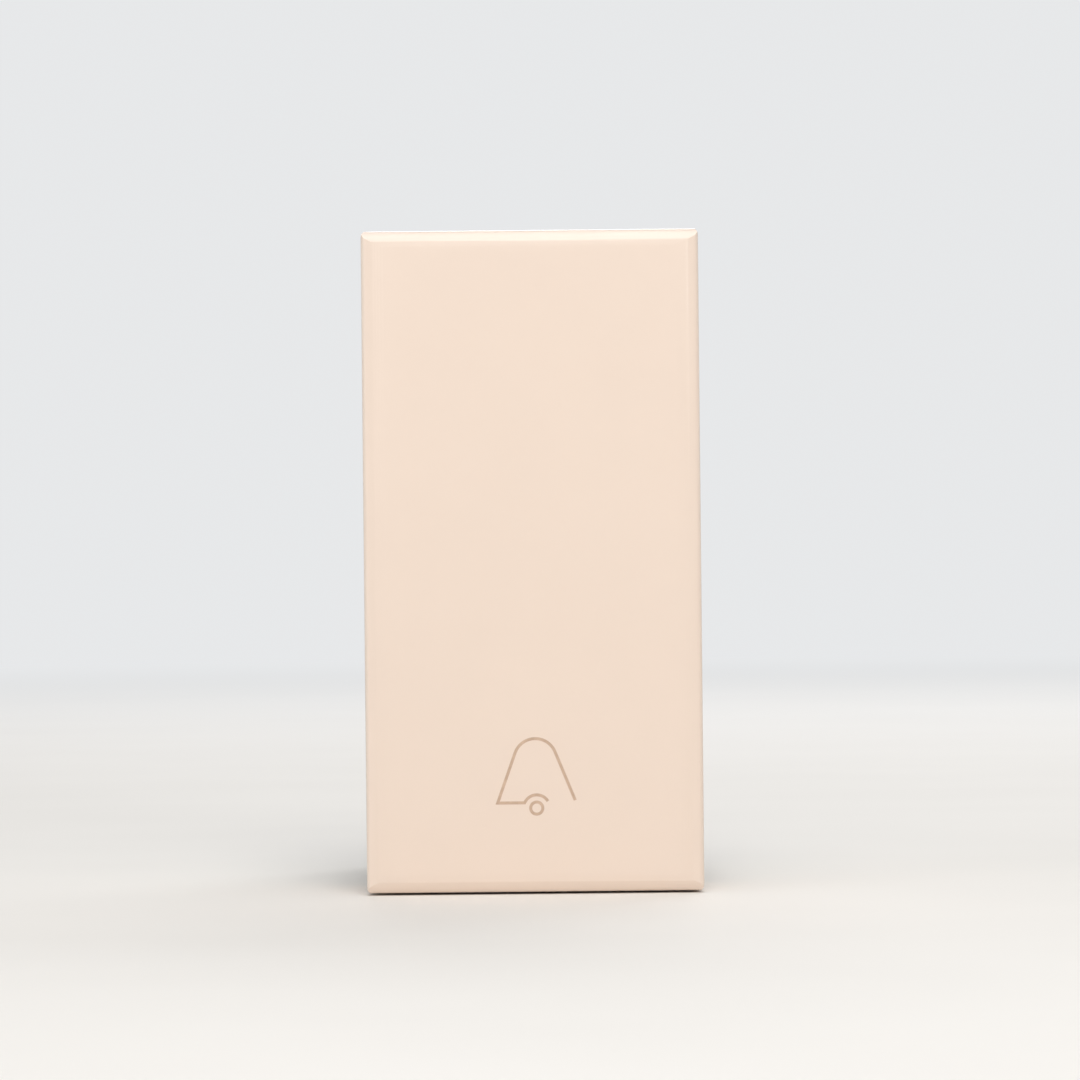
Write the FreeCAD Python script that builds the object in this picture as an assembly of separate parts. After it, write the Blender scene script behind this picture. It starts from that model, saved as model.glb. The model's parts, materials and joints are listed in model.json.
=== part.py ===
import FreeCAD, Part
import math
import os

# Doorbell push insert: one module wide, with a full-face rocker.
# Millimetres. X is right, Z is up, the front looks along -Y.
# The origin is the middle of the plane where the flanges seat on the wall plate's support frame.

Vector = FreeCAD.Vector

# Driving dimensions of the visible rocker, from the photograph at a 22.5 mm module pitch
MODULE_PITCH = 22.5
MODULE_GAP = 0.2
ROCKER_WIDTH = MODULE_PITCH - MODULE_GAP
ROCKER_HEIGHT = 44.0
ROCKER_DEPTH = 5.9
END_ROUND_R = 2.2
END_ROUND_ANGLE = 43.0
END_DRAFT = 0.14
SIDE_ROUND_R = 6.0
SIDE_ROUND_WIDTH = 1.9
CROWN_RISE = 0.03
EDGE_R = 0.4
CORNER_R = 0.6
FACE_WALL = 1.7
SKIRT_WALL = 1.3

# Ribs, finger and stops behind the face; each setback is measured from the rocker's edge
RIB_SIDE_SETBACK = 5.15
RIB_END_SETBACK = 4.5
RIB_HALF = 0.45
RIB_HEIGHT = 1.2
CROSS_RIB_SHARE = 0.125
CROSS_RIB_HEIGHT = 0.9
FINGER_HALF = 2.5
FINGER_TIP_HALF = 2.2
STOP_ROOT_HALF = 0.75
STOP_TIP_HALF = 0.6
REST_STOP_SETBACK = 6.0
PRESS_STOP_SETBACK = 4.6

# Press movement, and the plunger's distance from the end of the mechanism
PRESS_ANGLE = 5.5
PRESS_SETBACK = 5.4

# Pivot
PIVOT_SETBACK = 0.9
PIN_R = 1.3
PIN_CLEARANCE = 0.05
PIN_CHAMFER = 0.3
PIN_PAST_RING = 0.2
EAR_R = 2.5
EAR_CLEARANCE = 0.3
EAR_FLARE = 1.2

# Stops and clearances
SLIDE_CLEARANCE = 0.1
FINGER_GAP = 0.1
STOP_GAP = 0.05
FIT_GAP = 0.1
OVERCUT = 1.0
OVERLAP = 0.1

# Edges found nearer than this to a plane lie on it
NEAR = 0.01
PARALLEL = 0.9999

# Front frame
PLATE_FRONT = -2.2
PLATE_REAR = 0.6
PLATE_SIDE_GAP = 0.05
FLANGE_END_GAP = 0.1
DECK_WALL = 1.4
SKIRT_GAP = 2.4
RING_SIDE_GAP = 0.45
RING_END_GAP = 0.8
RING_WALL = 1.2
RING_HEIGHT = 2.7
RING_CORNER_R = 1.0
RAMP_DEPTH = 0.8
INNER_CORNER_R = 0.5
FLANGE_CORNER_R = 0.6

# Housing and the carrier inside it
HOUSING_SETBACK = 0.25
SIDE_WALL = 1.3
END_WALL = 1.6
HOUSING_CORNER_R = 1.0
COVER_WALL = 1.6
CARRIER_WALL = 1.0

# Plug rings that locate frame and cover in the housing, and their snap arms
PLUG_WALL = 1.0
PLUG_DEPTH = 2.0
COVER_PLUG_DEPTH = 1.2
ARM_THICK = 1.0
ARM_TAIL = 0.6
TOOTH_REACH = 0.9
TOOTH_LAND = 0.5
TOOTH_SIDE = 0.3
TOOTH_ROOT = 0.2
TOOTH_LENGTH = 1.8
SLIT = 0.8
FRAME_ARM_OFFSET = 4.0
FRAME_ARM_WIDTH = 5.0
FRAME_TOOTH_DEPTH = 4.0
COVER_ARM_OFFSET = 8.0
COVER_ARM_WIDTH = 4.0
COVER_ARM_TAIL = 0.4
COVER_TOOTH_DEPTH = 5.0
WINDOW_GAP = 0.1

# Tongues that hook behind the support frame's rail
RAIL_THICK = 1.5
TONGUE_SETBACK = 1.8
TONGUE_HALF_X = 3.5
TONGUE_THICK = 0.9
TONGUE_GAP = 0.8
TONGUE_TAIL = 2.5
HOOK_REACH = 0.7
HOOK_CLEARANCE = 0.2
HOOK_LAND = 1.5
HOOK_RAMP = 3.8
TONGUE_EDGE = 0.35
NOTCH_CLEARANCE = 0.3

# Plunger and guide
STEM_HALF_X = 2.6
STEM_HALF_Z = 2.2
TIP_PAST_RING = 0.4
DOME_R = 4.0
GUIDE_WALL = 1.0
GUIDE_LENGTH = 2.9
YOKE_EDGE_R = 0.4
SPIGOT_CHAMFER = 0.25
YOKE_HALF_Z = 3.4
YOKE_LENGTH = 5.0
YOKE_BAR = 0.8
YOKE_REAR_BAR = 1.2
SPIGOT_R = 1.1
SPIGOT_LENGTH = 1.0

# Contacts
BRIDGE_THICK = 0.8
BRIDGE_END_GAP = 1.7
BRIDGE_HALF_Z = 2.0
TIP_SETBACK = 1.7
TIP_R = 1.5
TIP_HEIGHT = 0.8
CONTACT_OVERTRAVEL = 0.056
FIXED_TIP_HEIGHT = 0.7
TIP_CHAMFER = 0.25
BRIDGE_CORNER_R = 1.2
BRIDGE_SIDE_GAP = 0.3

# Springs, wire and mean radii
SPRING_STEPS = 14
WIRE_SIDES = 6
RETURN_LENGTH = 3.8
RETURN_MEAN_R = 1.5
RETURN_WIRE_R = 0.175
RETURN_TURNS = 4.0
CONTACT_MEAN_R = 1.2
CONTACT_WIRE_R = 0.15
CONTACT_TURNS = 3.0
CUP_INNER_R = 2.1
CUP_OUTER_R = 2.8
CUP_HEIGHT = 1.0
SCREW_HOLE_GAP = 0.4
POST_WIDTH = 1.3
FENCE_WIDTH = 0.6
FENCE_HALF_X = 2.0
GUIDE_RIB = 0.9
GUIDE_RIB_REACH = 1.1
GUIDE_RIB_LEAD = 1.2
PAD_SLOT_GAP = 0.2
PAD_SLOT_END_GAP = 0.3

# Terminals: the load terminal is built, and the line terminal is its half turn about Y
STRIP_THICK = 0.8
STRIP_BEND_R = 0.4
STRIP_CHAMFER = 0.6
STRIP_SIDE_GAP = 0.2
PAD_PAST_TIP = 1.8
PAD_HALF_Z = 2.2
RUN_DEPTH = 1.6
TERMINAL_INSET = 4.4
BED_PAST_SCREW = 6.8
BED_HALF_Z = 3.0
SCREW_HOLE_R = 1.85
NUT_SIZE = 6.0
NUT_THICK = 1.8
NUT_FLOOR_GAP = 0.2
NUT_CHAMFER = 0.4
SHANK_R = 1.7
SHANK_IN_NUT = 1.0
NUT_THREAD_GAP = 0.05
NUT_HOLE_R = SHANK_R + NUT_THREAD_GAP
SHANK_CHAMFER = 0.35
HEAD_R = 2.75
HEAD_HEIGHT = 2.0
HEAD_CHAMFER = 0.3
SLOT_WIDTH = 0.8
CROSS_WIDTH = 1.0
CROSS_REACH = 1.5
SLOT_DEPTH = 1.1
CLAMP_HALF_X = 4.1
CLAMP_HALF_Z = 3.1
CLAMP_THICK = 1.0
CLAMP_CHAMFER = 0.5
CLAMP_CLOSED_GAP = 0.2
CLAMP_TRAVEL = 2.6
GROOVE_COUNT = 4
GROOVE_PITCH = 1.3
GROOVE_HALF = 0.35
GROOVE_DEPTH = 0.25
WIRE_R = 1.3
WIRE_OFFSET = 3.1
WIRE_BED_GAP = 0.1
WIRE_CHAMFER = 0.4
DRIVER_HOLE_R = 2.4
DRIVER_LEAD = 0.6
DRIVER_HEAD_GAP = 0.2
WELL_WALL = 0.8
WELL_CLEARANCE = 0.2
WELL_R = HEAD_R + WELL_CLEARANCE
LID_HEAD_GAP = 0.35
LID_CHAMFER = 0.5
KEEPER_WIDTH = 1.2

# Places across the width, worked out from the values above
RIB_X = ROCKER_WIDTH / 2 - RIB_SIDE_SETBACK
PLATE_HALF_X = ROCKER_WIDTH / 2 - PLATE_SIDE_GAP
RING_HALF_X = ROCKER_WIDTH / 2 - SKIRT_WALL - RING_SIDE_GAP
HOUSING_HALF_X = ROCKER_WIDTH / 2 - HOUSING_SETBACK
ROOM_HALF_X = HOUSING_HALF_X - SIDE_WALL
PLUG_HALF_X = ROOM_HALF_X - FIT_GAP
BRIDGE_HALF_X = ROOM_HALF_X - BRIDGE_END_GAP
TIP_X = BRIDGE_HALF_X - TIP_SETBACK
PAD_INNER_X = TIP_X - PAD_PAST_TIP
STRIP_OUTER_X = ROOM_HALF_X - STRIP_SIDE_GAP
TERMINAL_X = STRIP_OUTER_X - TERMINAL_INSET
BED_INNER_X = TERMINAL_X - BED_PAST_SCREW

# Places up the height
CROSS_RIB_Z = ROCKER_HEIGHT * CROSS_RIB_SHARE
RIB_HALF_LENGTH = ROCKER_HEIGHT / 2 - RIB_END_SETBACK
REST_STOP_Z = ROCKER_HEIGHT / 2 - REST_STOP_SETBACK
PRESS_STOP_Z = PRESS_STOP_SETBACK - ROCKER_HEIGHT / 2
FLANGE_TOP = ROCKER_HEIGHT / 2 - FLANGE_END_GAP
RING_HALF_Z = ROCKER_HEIGHT / 2 - SKIRT_WALL - RING_END_GAP
TONGUE_INNER_Z = ROCKER_HEIGHT / 2 - TONGUE_SETBACK
PLATE_HALF_Z = TONGUE_INNER_Z - TONGUE_GAP
ROOM_HALF_Z = PLATE_HALF_Z - END_WALL
PLUG_HALF_Z = ROOM_HALF_Z - FIT_GAP
PRESS_Z = PRESS_SETBACK - PLATE_HALF_Z
TERMINAL_Z = PRESS_Z
FRAME_ARM_Z = -PRESS_Z - FRAME_ARM_OFFSET
COVER_ARM_Z = -PRESS_Z - COVER_ARM_OFFSET
PLUNGER_TRAVEL = -PRESS_Z * math.radians(PRESS_ANGLE)
CONTACT_GAP = PLUNGER_TRAVEL + CONTACT_OVERTRAVEL

# Depths from the plate to the front
ROCKER_REAR = PLATE_FRONT - SKIRT_GAP
ROCKER_FRONT = ROCKER_REAR - ROCKER_DEPTH
INNER_FACE = ROCKER_FRONT + FACE_WALL
PIVOT_Y = ROCKER_REAR + PIVOT_SETBACK
RING_FRONT = PIVOT_Y - RING_HEIGHT
PLUNGER_TIP = RING_FRONT - TIP_PAST_RING

# Depths from the plate to the back, one piece resting on the next
DECK_REAR = PLATE_FRONT + DECK_WALL
FRAME_TOOTH_Y = PLATE_REAR + FRAME_TOOTH_DEPTH
FRAME_ARM_END = FRAME_TOOTH_Y + TOOTH_LENGTH + ARM_TAIL
HOOK_CATCH = RAIL_THICK + HOOK_CLEARANCE
TONGUE_END = HOOK_CATCH + HOOK_RAMP + TONGUE_TAIL
GUIDE_REAR = PLATE_REAR + GUIDE_LENGTH
YOKE_FRONT = GUIDE_REAR + SLIDE_CLEARANCE
YOKE_REAR = YOKE_FRONT + YOKE_LENGTH
WINDOW_FRONT = YOKE_FRONT + YOKE_BAR
BRIDGE_REAR = YOKE_REAR - YOKE_REAR_BAR
BRIDGE_FRONT = BRIDGE_REAR - BRIDGE_THICK
TIP_FACE = BRIDGE_REAR + TIP_HEIGHT
FIXED_TIP_FACE = TIP_FACE + CONTACT_GAP
PAD_FRONT = FIXED_TIP_FACE + FIXED_TIP_HEIGHT
PAD_REAR = PAD_FRONT + STRIP_THICK
CARRIER_FRONT = YOKE_REAR + RETURN_LENGTH
CARRIER_REAR = CARRIER_FRONT + CARRIER_WALL
NUT_FRONT = CARRIER_REAR + NUT_FLOOR_GAP
BED_FRONT = NUT_FRONT + NUT_THICK
BED_REAR = BED_FRONT + STRIP_THICK
SCREW_TIP = BED_FRONT - SHANK_IN_NUT
WIRE_Y = BED_REAR + WIRE_BED_GAP + WIRE_R
CLAMP_FRONT = BED_REAR + CLAMP_TRAVEL + CLAMP_CLOSED_GAP
CLAMP_REAR = CLAMP_FRONT + CLAMP_THICK
HEAD_FRONT = CLAMP_REAR + STOP_GAP
HEAD_REAR = HEAD_FRONT + HEAD_HEIGHT
DRIVER_FRONT = HEAD_REAR + DRIVER_HEAD_GAP
HOUSING_REAR = HEAD_REAR + LID_HEAD_GAP
COVER_REAR = HOUSING_REAR + COVER_WALL
COVER_TOOTH_Y = HOUSING_REAR - COVER_TOOTH_DEPTH
COVER_ARM_END = COVER_TOOTH_Y - COVER_ARM_TAIL


# Basic shapes

def box(x0, x1, y0, y1, z0, z1):
    """Box between two corners."""
    return Part.makeBox(x1 - x0, y1 - y0, z1 - z0, Vector(x0, y0, z0))


def bar_x(y, z, radius, x0, x1):
    """Round bar along X."""
    return Part.makeCylinder(radius, x1 - x0, Vector(x0, y, z), Vector(1, 0, 0))


def bar_y(x, z, radius, y0, y1):
    """Round bar along Y."""
    return Part.makeCylinder(radius, y1 - y0, Vector(x, y0, z), Vector(0, 1, 0))


def bar_z(x, y, radius, z0, z1):
    """Round bar along Z."""
    return Part.makeCylinder(radius, z1 - z0, Vector(x, y, z0), Vector(0, 0, 1))


def cone_y(x, z, r0, r1, y0, y1):
    """Cone along Y with radius r0 at y0 and r1 at y1."""
    return Part.makeCone(r0, r1, y1 - y0, Vector(x, y0, z), Vector(0, 1, 0))


def prism_x(outline, x0, x1):
    """Extrude a (y, z) outline along X."""
    points = [Vector(x0, y, z) for y, z in outline]
    face = Part.Face(Part.makePolygon(points + points[:1]))
    return face.extrude(Vector(x1 - x0, 0, 0))


def prism_z(outline, z0, z1):
    """Extrude an (x, y) outline along Z."""
    points = [Vector(x, y, z0) for x, y in outline]
    face = Part.Face(Part.makePolygon(points + points[:1]))
    return face.extrude(Vector(0, 0, z1 - z0))


def rounded_box(half_x, half_z, radius, y0, y1):
    """Box centred on the Y axis with its four edges along Y rounded."""
    block = box(-half_x, half_x, y0, y1, -half_z, half_z)
    return block.makeFillet(radius, edges_along(block, Vector(0, 1, 0)))


def edges_along(shape, direction):
    """Straight edges that run along a direction."""
    found = []
    for edge in shape.Edges:
        run = edge.Vertexes[-1].Point - edge.Vertexes[0].Point
        straight = len(edge.Vertexes) == 2 and run.Length > NEAR
        if straight and abs(run.normalize().dot(direction)) > PARALLEL:
            found.append(edge)
    return found


def chamfered_rear(shape, rear, size):
    """Chamfer the edges that lie in the plane y = rear."""
    return shape.makeChamfer(size, [edge for edge in shape.Edges if edge.BoundBox.YMin > rear - NEAR])


def mirrored_x(shape):
    """Left copy of a right-hand shape."""
    return shape.mirror(Vector(0, 0, 0), Vector(1, 0, 0))


def mirrored_z(shape):
    """Upper copy of a lower shape."""
    return shape.mirror(Vector(0, 0, 0), Vector(0, 0, 1))


def half_turn(shape):
    """Copy turned half round about Y: the load terminal's shape at the line terminal."""
    turned = shape.copy()
    turned.rotate(Vector(0, 0, 0), Vector(0, 1, 0), 180)
    return turned


def both_sides(shape):
    """A right-hand shape with its left copy."""
    return [shape, mirrored_x(shape)]


def both_terminals(shape):
    """A load terminal shape with its line terminal copy."""
    return [shape, half_turn(shape)]


def joined(first, others):
    """Fuse solids into one and drop the seams."""
    return first.fuse(others).removeSplitter()


def single(shape):
    """The one solid of a result."""
    assert len(shape.Solids) == 1, len(shape.Solids)
    return shape.Solids[0]


# Rocker

def rocker_side_form():
    """Side view: flat face, rounded over at both ends, ends drafted and their rims softened."""
    angle = math.radians(END_ROUND_ANGLE)
    rear_z = ROCKER_HEIGHT / 2
    front_z = rear_z - END_DRAFT
    tangent_z = front_z - END_ROUND_R * math.sin(angle)
    corner_y = ROCKER_FRONT + END_ROUND_R * (1 - math.cos(angle))
    middle_z = tangent_z + END_ROUND_R * math.sin(angle / 2)
    middle_y = ROCKER_FRONT + END_ROUND_R * (1 - math.cos(angle / 2))

    def at(y, z):
        return Vector(-ROCKER_WIDTH / 2 - OVERCUT, y, z)

    edges = [
        Part.LineSegment(at(ROCKER_REAR, rear_z), at(corner_y, front_z)),
        Part.Arc(at(corner_y, front_z), at(middle_y, middle_z), at(ROCKER_FRONT, tangent_z)),
        Part.LineSegment(at(ROCKER_FRONT, tangent_z), at(ROCKER_FRONT, -tangent_z)),
        Part.Arc(at(ROCKER_FRONT, -tangent_z), at(middle_y, -middle_z), at(corner_y, -front_z)),
        Part.LineSegment(at(corner_y, -front_z), at(ROCKER_REAR, -rear_z)),
        Part.LineSegment(at(ROCKER_REAR, -rear_z), at(ROCKER_REAR, rear_z)),
    ]
    wire = Part.Wire([edge.toShape() for edge in edges])
    form = Part.Face(wire).extrude(Vector(ROCKER_WIDTH + 2 * OVERCUT, 0, 0))
    rims = [edge for edge in edges_along(form, Vector(1, 0, 0)) if abs(edge.BoundBox.YMin - corner_y) < NEAR]
    return form.makeFillet(EDGE_R, rims)


def rocker_crown_form():
    """End view: barely crowned face with softly rounded long edges."""
    half = ROCKER_WIDTH / 2
    soft_x = half - SIDE_ROUND_WIDTH
    angle = math.asin(SIDE_ROUND_WIDTH / SIDE_ROUND_R)
    soft_y = ROCKER_FRONT + CROWN_RISE
    middle_x = soft_x + SIDE_ROUND_R * math.sin(angle / 2)
    middle_y = soft_y + SIDE_ROUND_R * (1 - math.cos(angle / 2))
    edge_y = soft_y + SIDE_ROUND_R * (1 - math.cos(angle))

    def at(x, y):
        return Vector(x, y, -ROCKER_HEIGHT / 2 - OVERCUT)

    edges = [
        Part.LineSegment(at(-half, ROCKER_REAR), at(-half, edge_y)),
        Part.Arc(at(-half, edge_y), at(-middle_x, middle_y), at(-soft_x, soft_y)),
        Part.Arc(at(-soft_x, soft_y), at(0, ROCKER_FRONT), at(soft_x, soft_y)),
        Part.Arc(at(soft_x, soft_y), at(middle_x, middle_y), at(half, edge_y)),
        Part.LineSegment(at(half, edge_y), at(half, ROCKER_REAR)),
        Part.LineSegment(at(half, ROCKER_REAR), at(-half, ROCKER_REAR)),
    ]
    wire = Part.Wire([edge.toShape() for edge in edges])
    form = Part.Face(wire).extrude(Vector(0, 0, ROCKER_HEIGHT + 2 * OVERCUT))
    rims = [edge for edge in edges_along(form, Vector(0, 0, 1)) if abs(edge.BoundBox.YMin - edge_y) < NEAR]
    return form.makeFillet(EDGE_R, rims)


def rocker_outside():
    """Outer form: what the side, end and front views share."""
    front = ROCKER_FRONT - OVERCUT
    plan = rounded_box(ROCKER_WIDTH / 2, ROCKER_HEIGHT / 2, CORNER_R, front, ROCKER_REAR)
    form = rocker_side_form().common(rocker_crown_form())
    return form.common(plan).removeSplitter()


def make_rocker():
    """Thin shell with ears, trunnion pins, stiffening ribs, finger and stops."""
    half_x = ROCKER_WIDTH / 2
    wall_x = half_x - SKIRT_WALL
    wall_z = ROCKER_HEIGHT / 2 - SKIRT_WALL
    rib_rear = INNER_FACE + RIB_HEIGHT
    cross_rear = INNER_FACE + CROSS_RIB_HEIGHT

    hollow = rounded_box(wall_x, wall_z, EDGE_R, INNER_FACE, ROCKER_REAR + OVERCUT)
    shell = rocker_outside().cut(hollow)

    additions = []
    for shape in (rocker_ear(wall_x, half_x), trunnion_pin(wall_x)):
        additions += both_sides(shape)
    for x in (-RIB_X, RIB_X):
        rib = box(x - RIB_HALF, x + RIB_HALF, INNER_FACE, rib_rear, -RIB_HALF_LENGTH, RIB_HALF_LENGTH)
        additions.append(rib)
    for z in (-CROSS_RIB_Z, CROSS_RIB_Z):
        additions.append(box(-wall_x, wall_x, INNER_FACE, cross_rear, z - RIB_HALF, z + RIB_HALF))
    finger_rear = PLUNGER_TIP - FINGER_GAP
    additions.append(tapered_rib(PRESS_Z, finger_rear, FINGER_HALF, FINGER_TIP_HALF, FINGER_HALF))
    for z, rear in ((REST_STOP_Z, PLATE_FRONT - STOP_GAP), (PRESS_STOP_Z, press_stop_rear())):
        additions.append(tapered_rib(z, rear, STOP_ROOT_HALF, STOP_TIP_HALF, RIB_X))
    return single(joined(shell, additions))


def rocker_ear(x0, x1):
    """Round ear that carries the skirt down to the pivot."""
    ear = bar_x(PIVOT_Y, 0, EAR_R, x0, x1)
    skirt_y = ROCKER_REAR - OVERLAP
    flare = [
        (skirt_y, -EAR_R - EAR_FLARE),
        (PIVOT_Y, -EAR_R),
        (PIVOT_Y, EAR_R),
        (skirt_y, EAR_R + EAR_FLARE),
    ]
    return ear.fuse(prism_x(flare, x0, x1))


def trunnion_pin(root_x):
    """Right-hand pin that points inwards through the frame's ring wall."""
    tip_x = RING_HALF_X - RING_WALL - PIN_PAST_RING
    pin = bar_x(PIVOT_Y, 0, PIN_R, tip_x, root_x)
    return pin.makeChamfer(PIN_CHAMFER, [edge for edge in pin.Edges if edge.BoundBox.XMax < tip_x + NEAR])


def tapered_rib(z, rear, root_half, tip_half, half_x):
    """Cross rib on the rocker's inner face that narrows towards its rear edge."""
    outline = [
        (INNER_FACE, z - root_half),
        (rear, z - tip_half),
        (rear, z + tip_half),
        (INNER_FACE, z + root_half),
    ]
    return prism_x(outline, -half_x, half_x)


def press_stop_rear():
    """Rear edge of the press stop, so that it meets the deck at full press."""
    angle = math.radians(PRESS_ANGLE)
    outer_z = abs(PRESS_STOP_Z) + STOP_TIP_HALF
    from_pivot = PLATE_FRONT - SLIDE_CLEARANCE - PIVOT_Y
    return PIVOT_Y + (from_pivot - outer_z * math.sin(angle)) / math.cos(angle)


# Front frame

def snap_arm(z, width, root_y, end_y, tooth_y):
    """Right-hand snap arm from root_y to end_y, with a tooth that ramps towards its end."""
    outer = PLUG_HALF_X
    away = 1 if end_y > root_y else -1
    tooth_end = tooth_y + TOOTH_LENGTH
    catch = tooth_y if away > 0 else tooth_end
    ramp_end = tooth_end if away > 0 else tooth_y
    outline = [
        (outer - TOOTH_ROOT, catch),
        (outer + TOOTH_REACH, catch),
        (outer + TOOTH_REACH, catch + away * TOOTH_LAND),
        (outer, ramp_end),
        (outer - TOOTH_ROOT, ramp_end),
    ]
    half = width / 2
    arm = box(outer - ARM_THICK, outer, min(root_y, end_y), max(root_y, end_y), z - half, z + half)
    return arm.fuse(prism_z(outline, z - half + TOOTH_SIDE, z + half - TOOTH_SIDE))


def arm_slits(z, width, y0, y1):
    """Right-hand slits through a plug ring on both sides of a snap arm."""
    slits = []
    for side in (-1, 1):
        middle = z + side * (width / 2 + SLIT / 2)
        slit = box(
            PLUG_HALF_X - PLUG_WALL - OVERCUT, PLUG_HALF_X + OVERCUT, y0, y1,
            middle - SLIT / 2, middle + SLIT / 2,
        )
        slits.append(slit)
    return slits


def tongue():
    """Upper tongue with the hook that springs behind the support frame's rail."""
    outer = TONGUE_INNER_Z + TONGUE_THICK
    outline = [
        (DECK_REAR, TONGUE_INNER_Z),
        (TONGUE_END - TONGUE_EDGE, TONGUE_INNER_Z),
        (TONGUE_END, TONGUE_INNER_Z + TONGUE_EDGE),
        (TONGUE_END, outer - TONGUE_EDGE),
        (TONGUE_END - TONGUE_EDGE, outer),
        (HOOK_CATCH + HOOK_RAMP, outer),
        (HOOK_CATCH + HOOK_LAND, outer + HOOK_REACH),
        (HOOK_CATCH, outer + HOOK_REACH),
        (HOOK_CATCH, outer),
        (DECK_REAR, outer),
    ]
    return prism_x(outline, -TONGUE_HALF_X, TONGUE_HALF_X)


def frame_plate():
    """Flanged plate, pivot ring in front and plug ring behind, with the arm slits."""
    plug_rear = PLATE_REAR + PLUG_DEPTH
    flanges = rounded_box(PLATE_HALF_X, FLANGE_TOP, FLANGE_CORNER_R, PLATE_FRONT, 0.0)
    body = box(-PLATE_HALF_X, PLATE_HALF_X, PLATE_FRONT, PLATE_REAR, -PLATE_HALF_Z, PLATE_HALF_Z)
    ring = rounded_box(RING_HALF_X, RING_HALF_Z, RING_CORNER_R, RING_FRONT, PLATE_FRONT)
    inside_x = RING_HALF_X - RING_WALL
    inside_z = RING_HALF_Z - RING_WALL
    ring = ring.cut(rounded_box(inside_x, inside_z, INNER_CORNER_R, RING_FRONT, PLATE_FRONT))
    plug = box(-PLUG_HALF_X, PLUG_HALF_X, PLATE_REAR, plug_rear, -PLUG_HALF_Z, PLUG_HALF_Z)
    inner_x = PLUG_HALF_X - PLUG_WALL
    inner_z = PLUG_HALF_Z - PLUG_WALL
    pocket = box(-inner_x, inner_x, DECK_REAR, plug_rear, -inner_z, inner_z)
    cuts = [pocket]
    for z in (-FRAME_ARM_Z, FRAME_ARM_Z):
        for slit in arm_slits(z, FRAME_ARM_WIDTH, PLATE_REAR, plug_rear + OVERCUT):
            cuts += both_sides(slit)
    return joined(flanges, [body, ring, plug]).cut(cuts)


def pivot_cuts():
    """Right-hand pivot hole, its entry ramp and the pocket for the rocker's ear."""
    hole = bar_x(PIVOT_Y, 0, PIN_R + PIN_CLEARANCE, RING_HALF_X - RING_WALL - OVERCUT, RING_HALF_X + OVERCUT)
    ramp_front = RING_FRONT - OVERLAP
    ramp_end = PIVOT_Y - PIN_R + OVERLAP
    ramp = prism_z(
        [
            (RING_HALF_X - RAMP_DEPTH, ramp_front),
            (RING_HALF_X + OVERCUT, ramp_front),
            (RING_HALF_X + OVERCUT, ramp_end),
            (RING_HALF_X, ramp_end),
        ],
        -PIN_R - SLIDE_CLEARANCE,
        PIN_R + SLIDE_CLEARANCE,
    )
    ear_pocket = bar_x(PIVOT_Y, 0, EAR_R + EAR_CLEARANCE, ROOM_HALF_X, PLATE_HALF_X + OVERCUT)
    return [hole, ramp, ear_pocket]


def make_front_frame():
    """Frame that carries the rocker: pivot ring, plunger guide, snap arms and tongues."""
    guide_x = STEM_HALF_X + SLIDE_CLEARANCE
    guide_z = STEM_HALF_Z + SLIDE_CLEARANCE
    outer_x = guide_x + GUIDE_WALL
    outer_z = guide_z + GUIDE_WALL
    guide = box(-outer_x, outer_x, DECK_REAR, GUIDE_REAR, PRESS_Z - outer_z, PRESS_Z + outer_z)
    additions = [guide, tongue(), mirrored_z(tongue())]
    for z in (-FRAME_ARM_Z, FRAME_ARM_Z):
        additions += both_sides(snap_arm(z, FRAME_ARM_WIDTH, DECK_REAR, FRAME_ARM_END, FRAME_TOOTH_Y))
    frame = joined(frame_plate(), additions)

    bore = box(
        -guide_x, guide_x, PLATE_FRONT - OVERCUT, GUIDE_REAR + OVERCUT, PRESS_Z - guide_z, PRESS_Z + guide_z
    )
    notch_x = TONGUE_HALF_X + NOTCH_CLEARANCE
    notch_z = TONGUE_INNER_Z + TONGUE_THICK
    notch = box(-notch_x, notch_x, PLATE_FRONT - OVERCUT, OVERCUT, notch_z, FLANGE_TOP + OVERCUT)
    cuts = [bore, notch, mirrored_z(notch)]
    for shape in pivot_cuts():
        cuts += both_sides(shape)
    return single(frame.cut(cuts).removeSplitter())


# Housing

def seat_ribs():
    """Ribs on the right-hand side wall: the carrier seats on them, the lower two guide the riser."""
    ribs = []
    for z in (PRESS_Z, -PRESS_Z):
        for side in (-1, 1):
            middle = z + side * (PAD_HALF_Z + FIT_GAP + GUIDE_RIB / 2)
            rib = box(
                ROOM_HALF_X - GUIDE_RIB_REACH, ROOM_HALF_X, PAD_FRONT - GUIDE_RIB_LEAD, CARRIER_FRONT,
                middle - GUIDE_RIB / 2, middle + GUIDE_RIB / 2,
            )
            ribs.append(rib)
    return ribs


def wire_bore(x):
    """Wire entry through the lower end wall, with a chamfered mouth."""
    bore = bar_z(x, WIRE_Y, WIRE_R, -PLATE_HALF_Z - OVERCUT, -ROOM_HALF_Z + FIT_GAP)
    mouth_at = Vector(x, WIRE_Y, -PLATE_HALF_Z)
    mouth = Part.makeCone(WIRE_R + WIRE_CHAMFER, WIRE_R, WIRE_CHAMFER, mouth_at, Vector(0, 0, 1))
    return bore.fuse(mouth)


def arm_window(z, width, tooth_y):
    """Window in the right-hand side wall for a snap arm's tooth."""
    half = width / 2 + WINDOW_GAP
    return box(
        ROOM_HALF_X - FIT_GAP, HOUSING_HALF_X + OVERCUT,
        tooth_y - WINDOW_GAP, tooth_y + TOOTH_LENGTH + WINDOW_GAP,
        z - half, z + half,
    )


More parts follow.
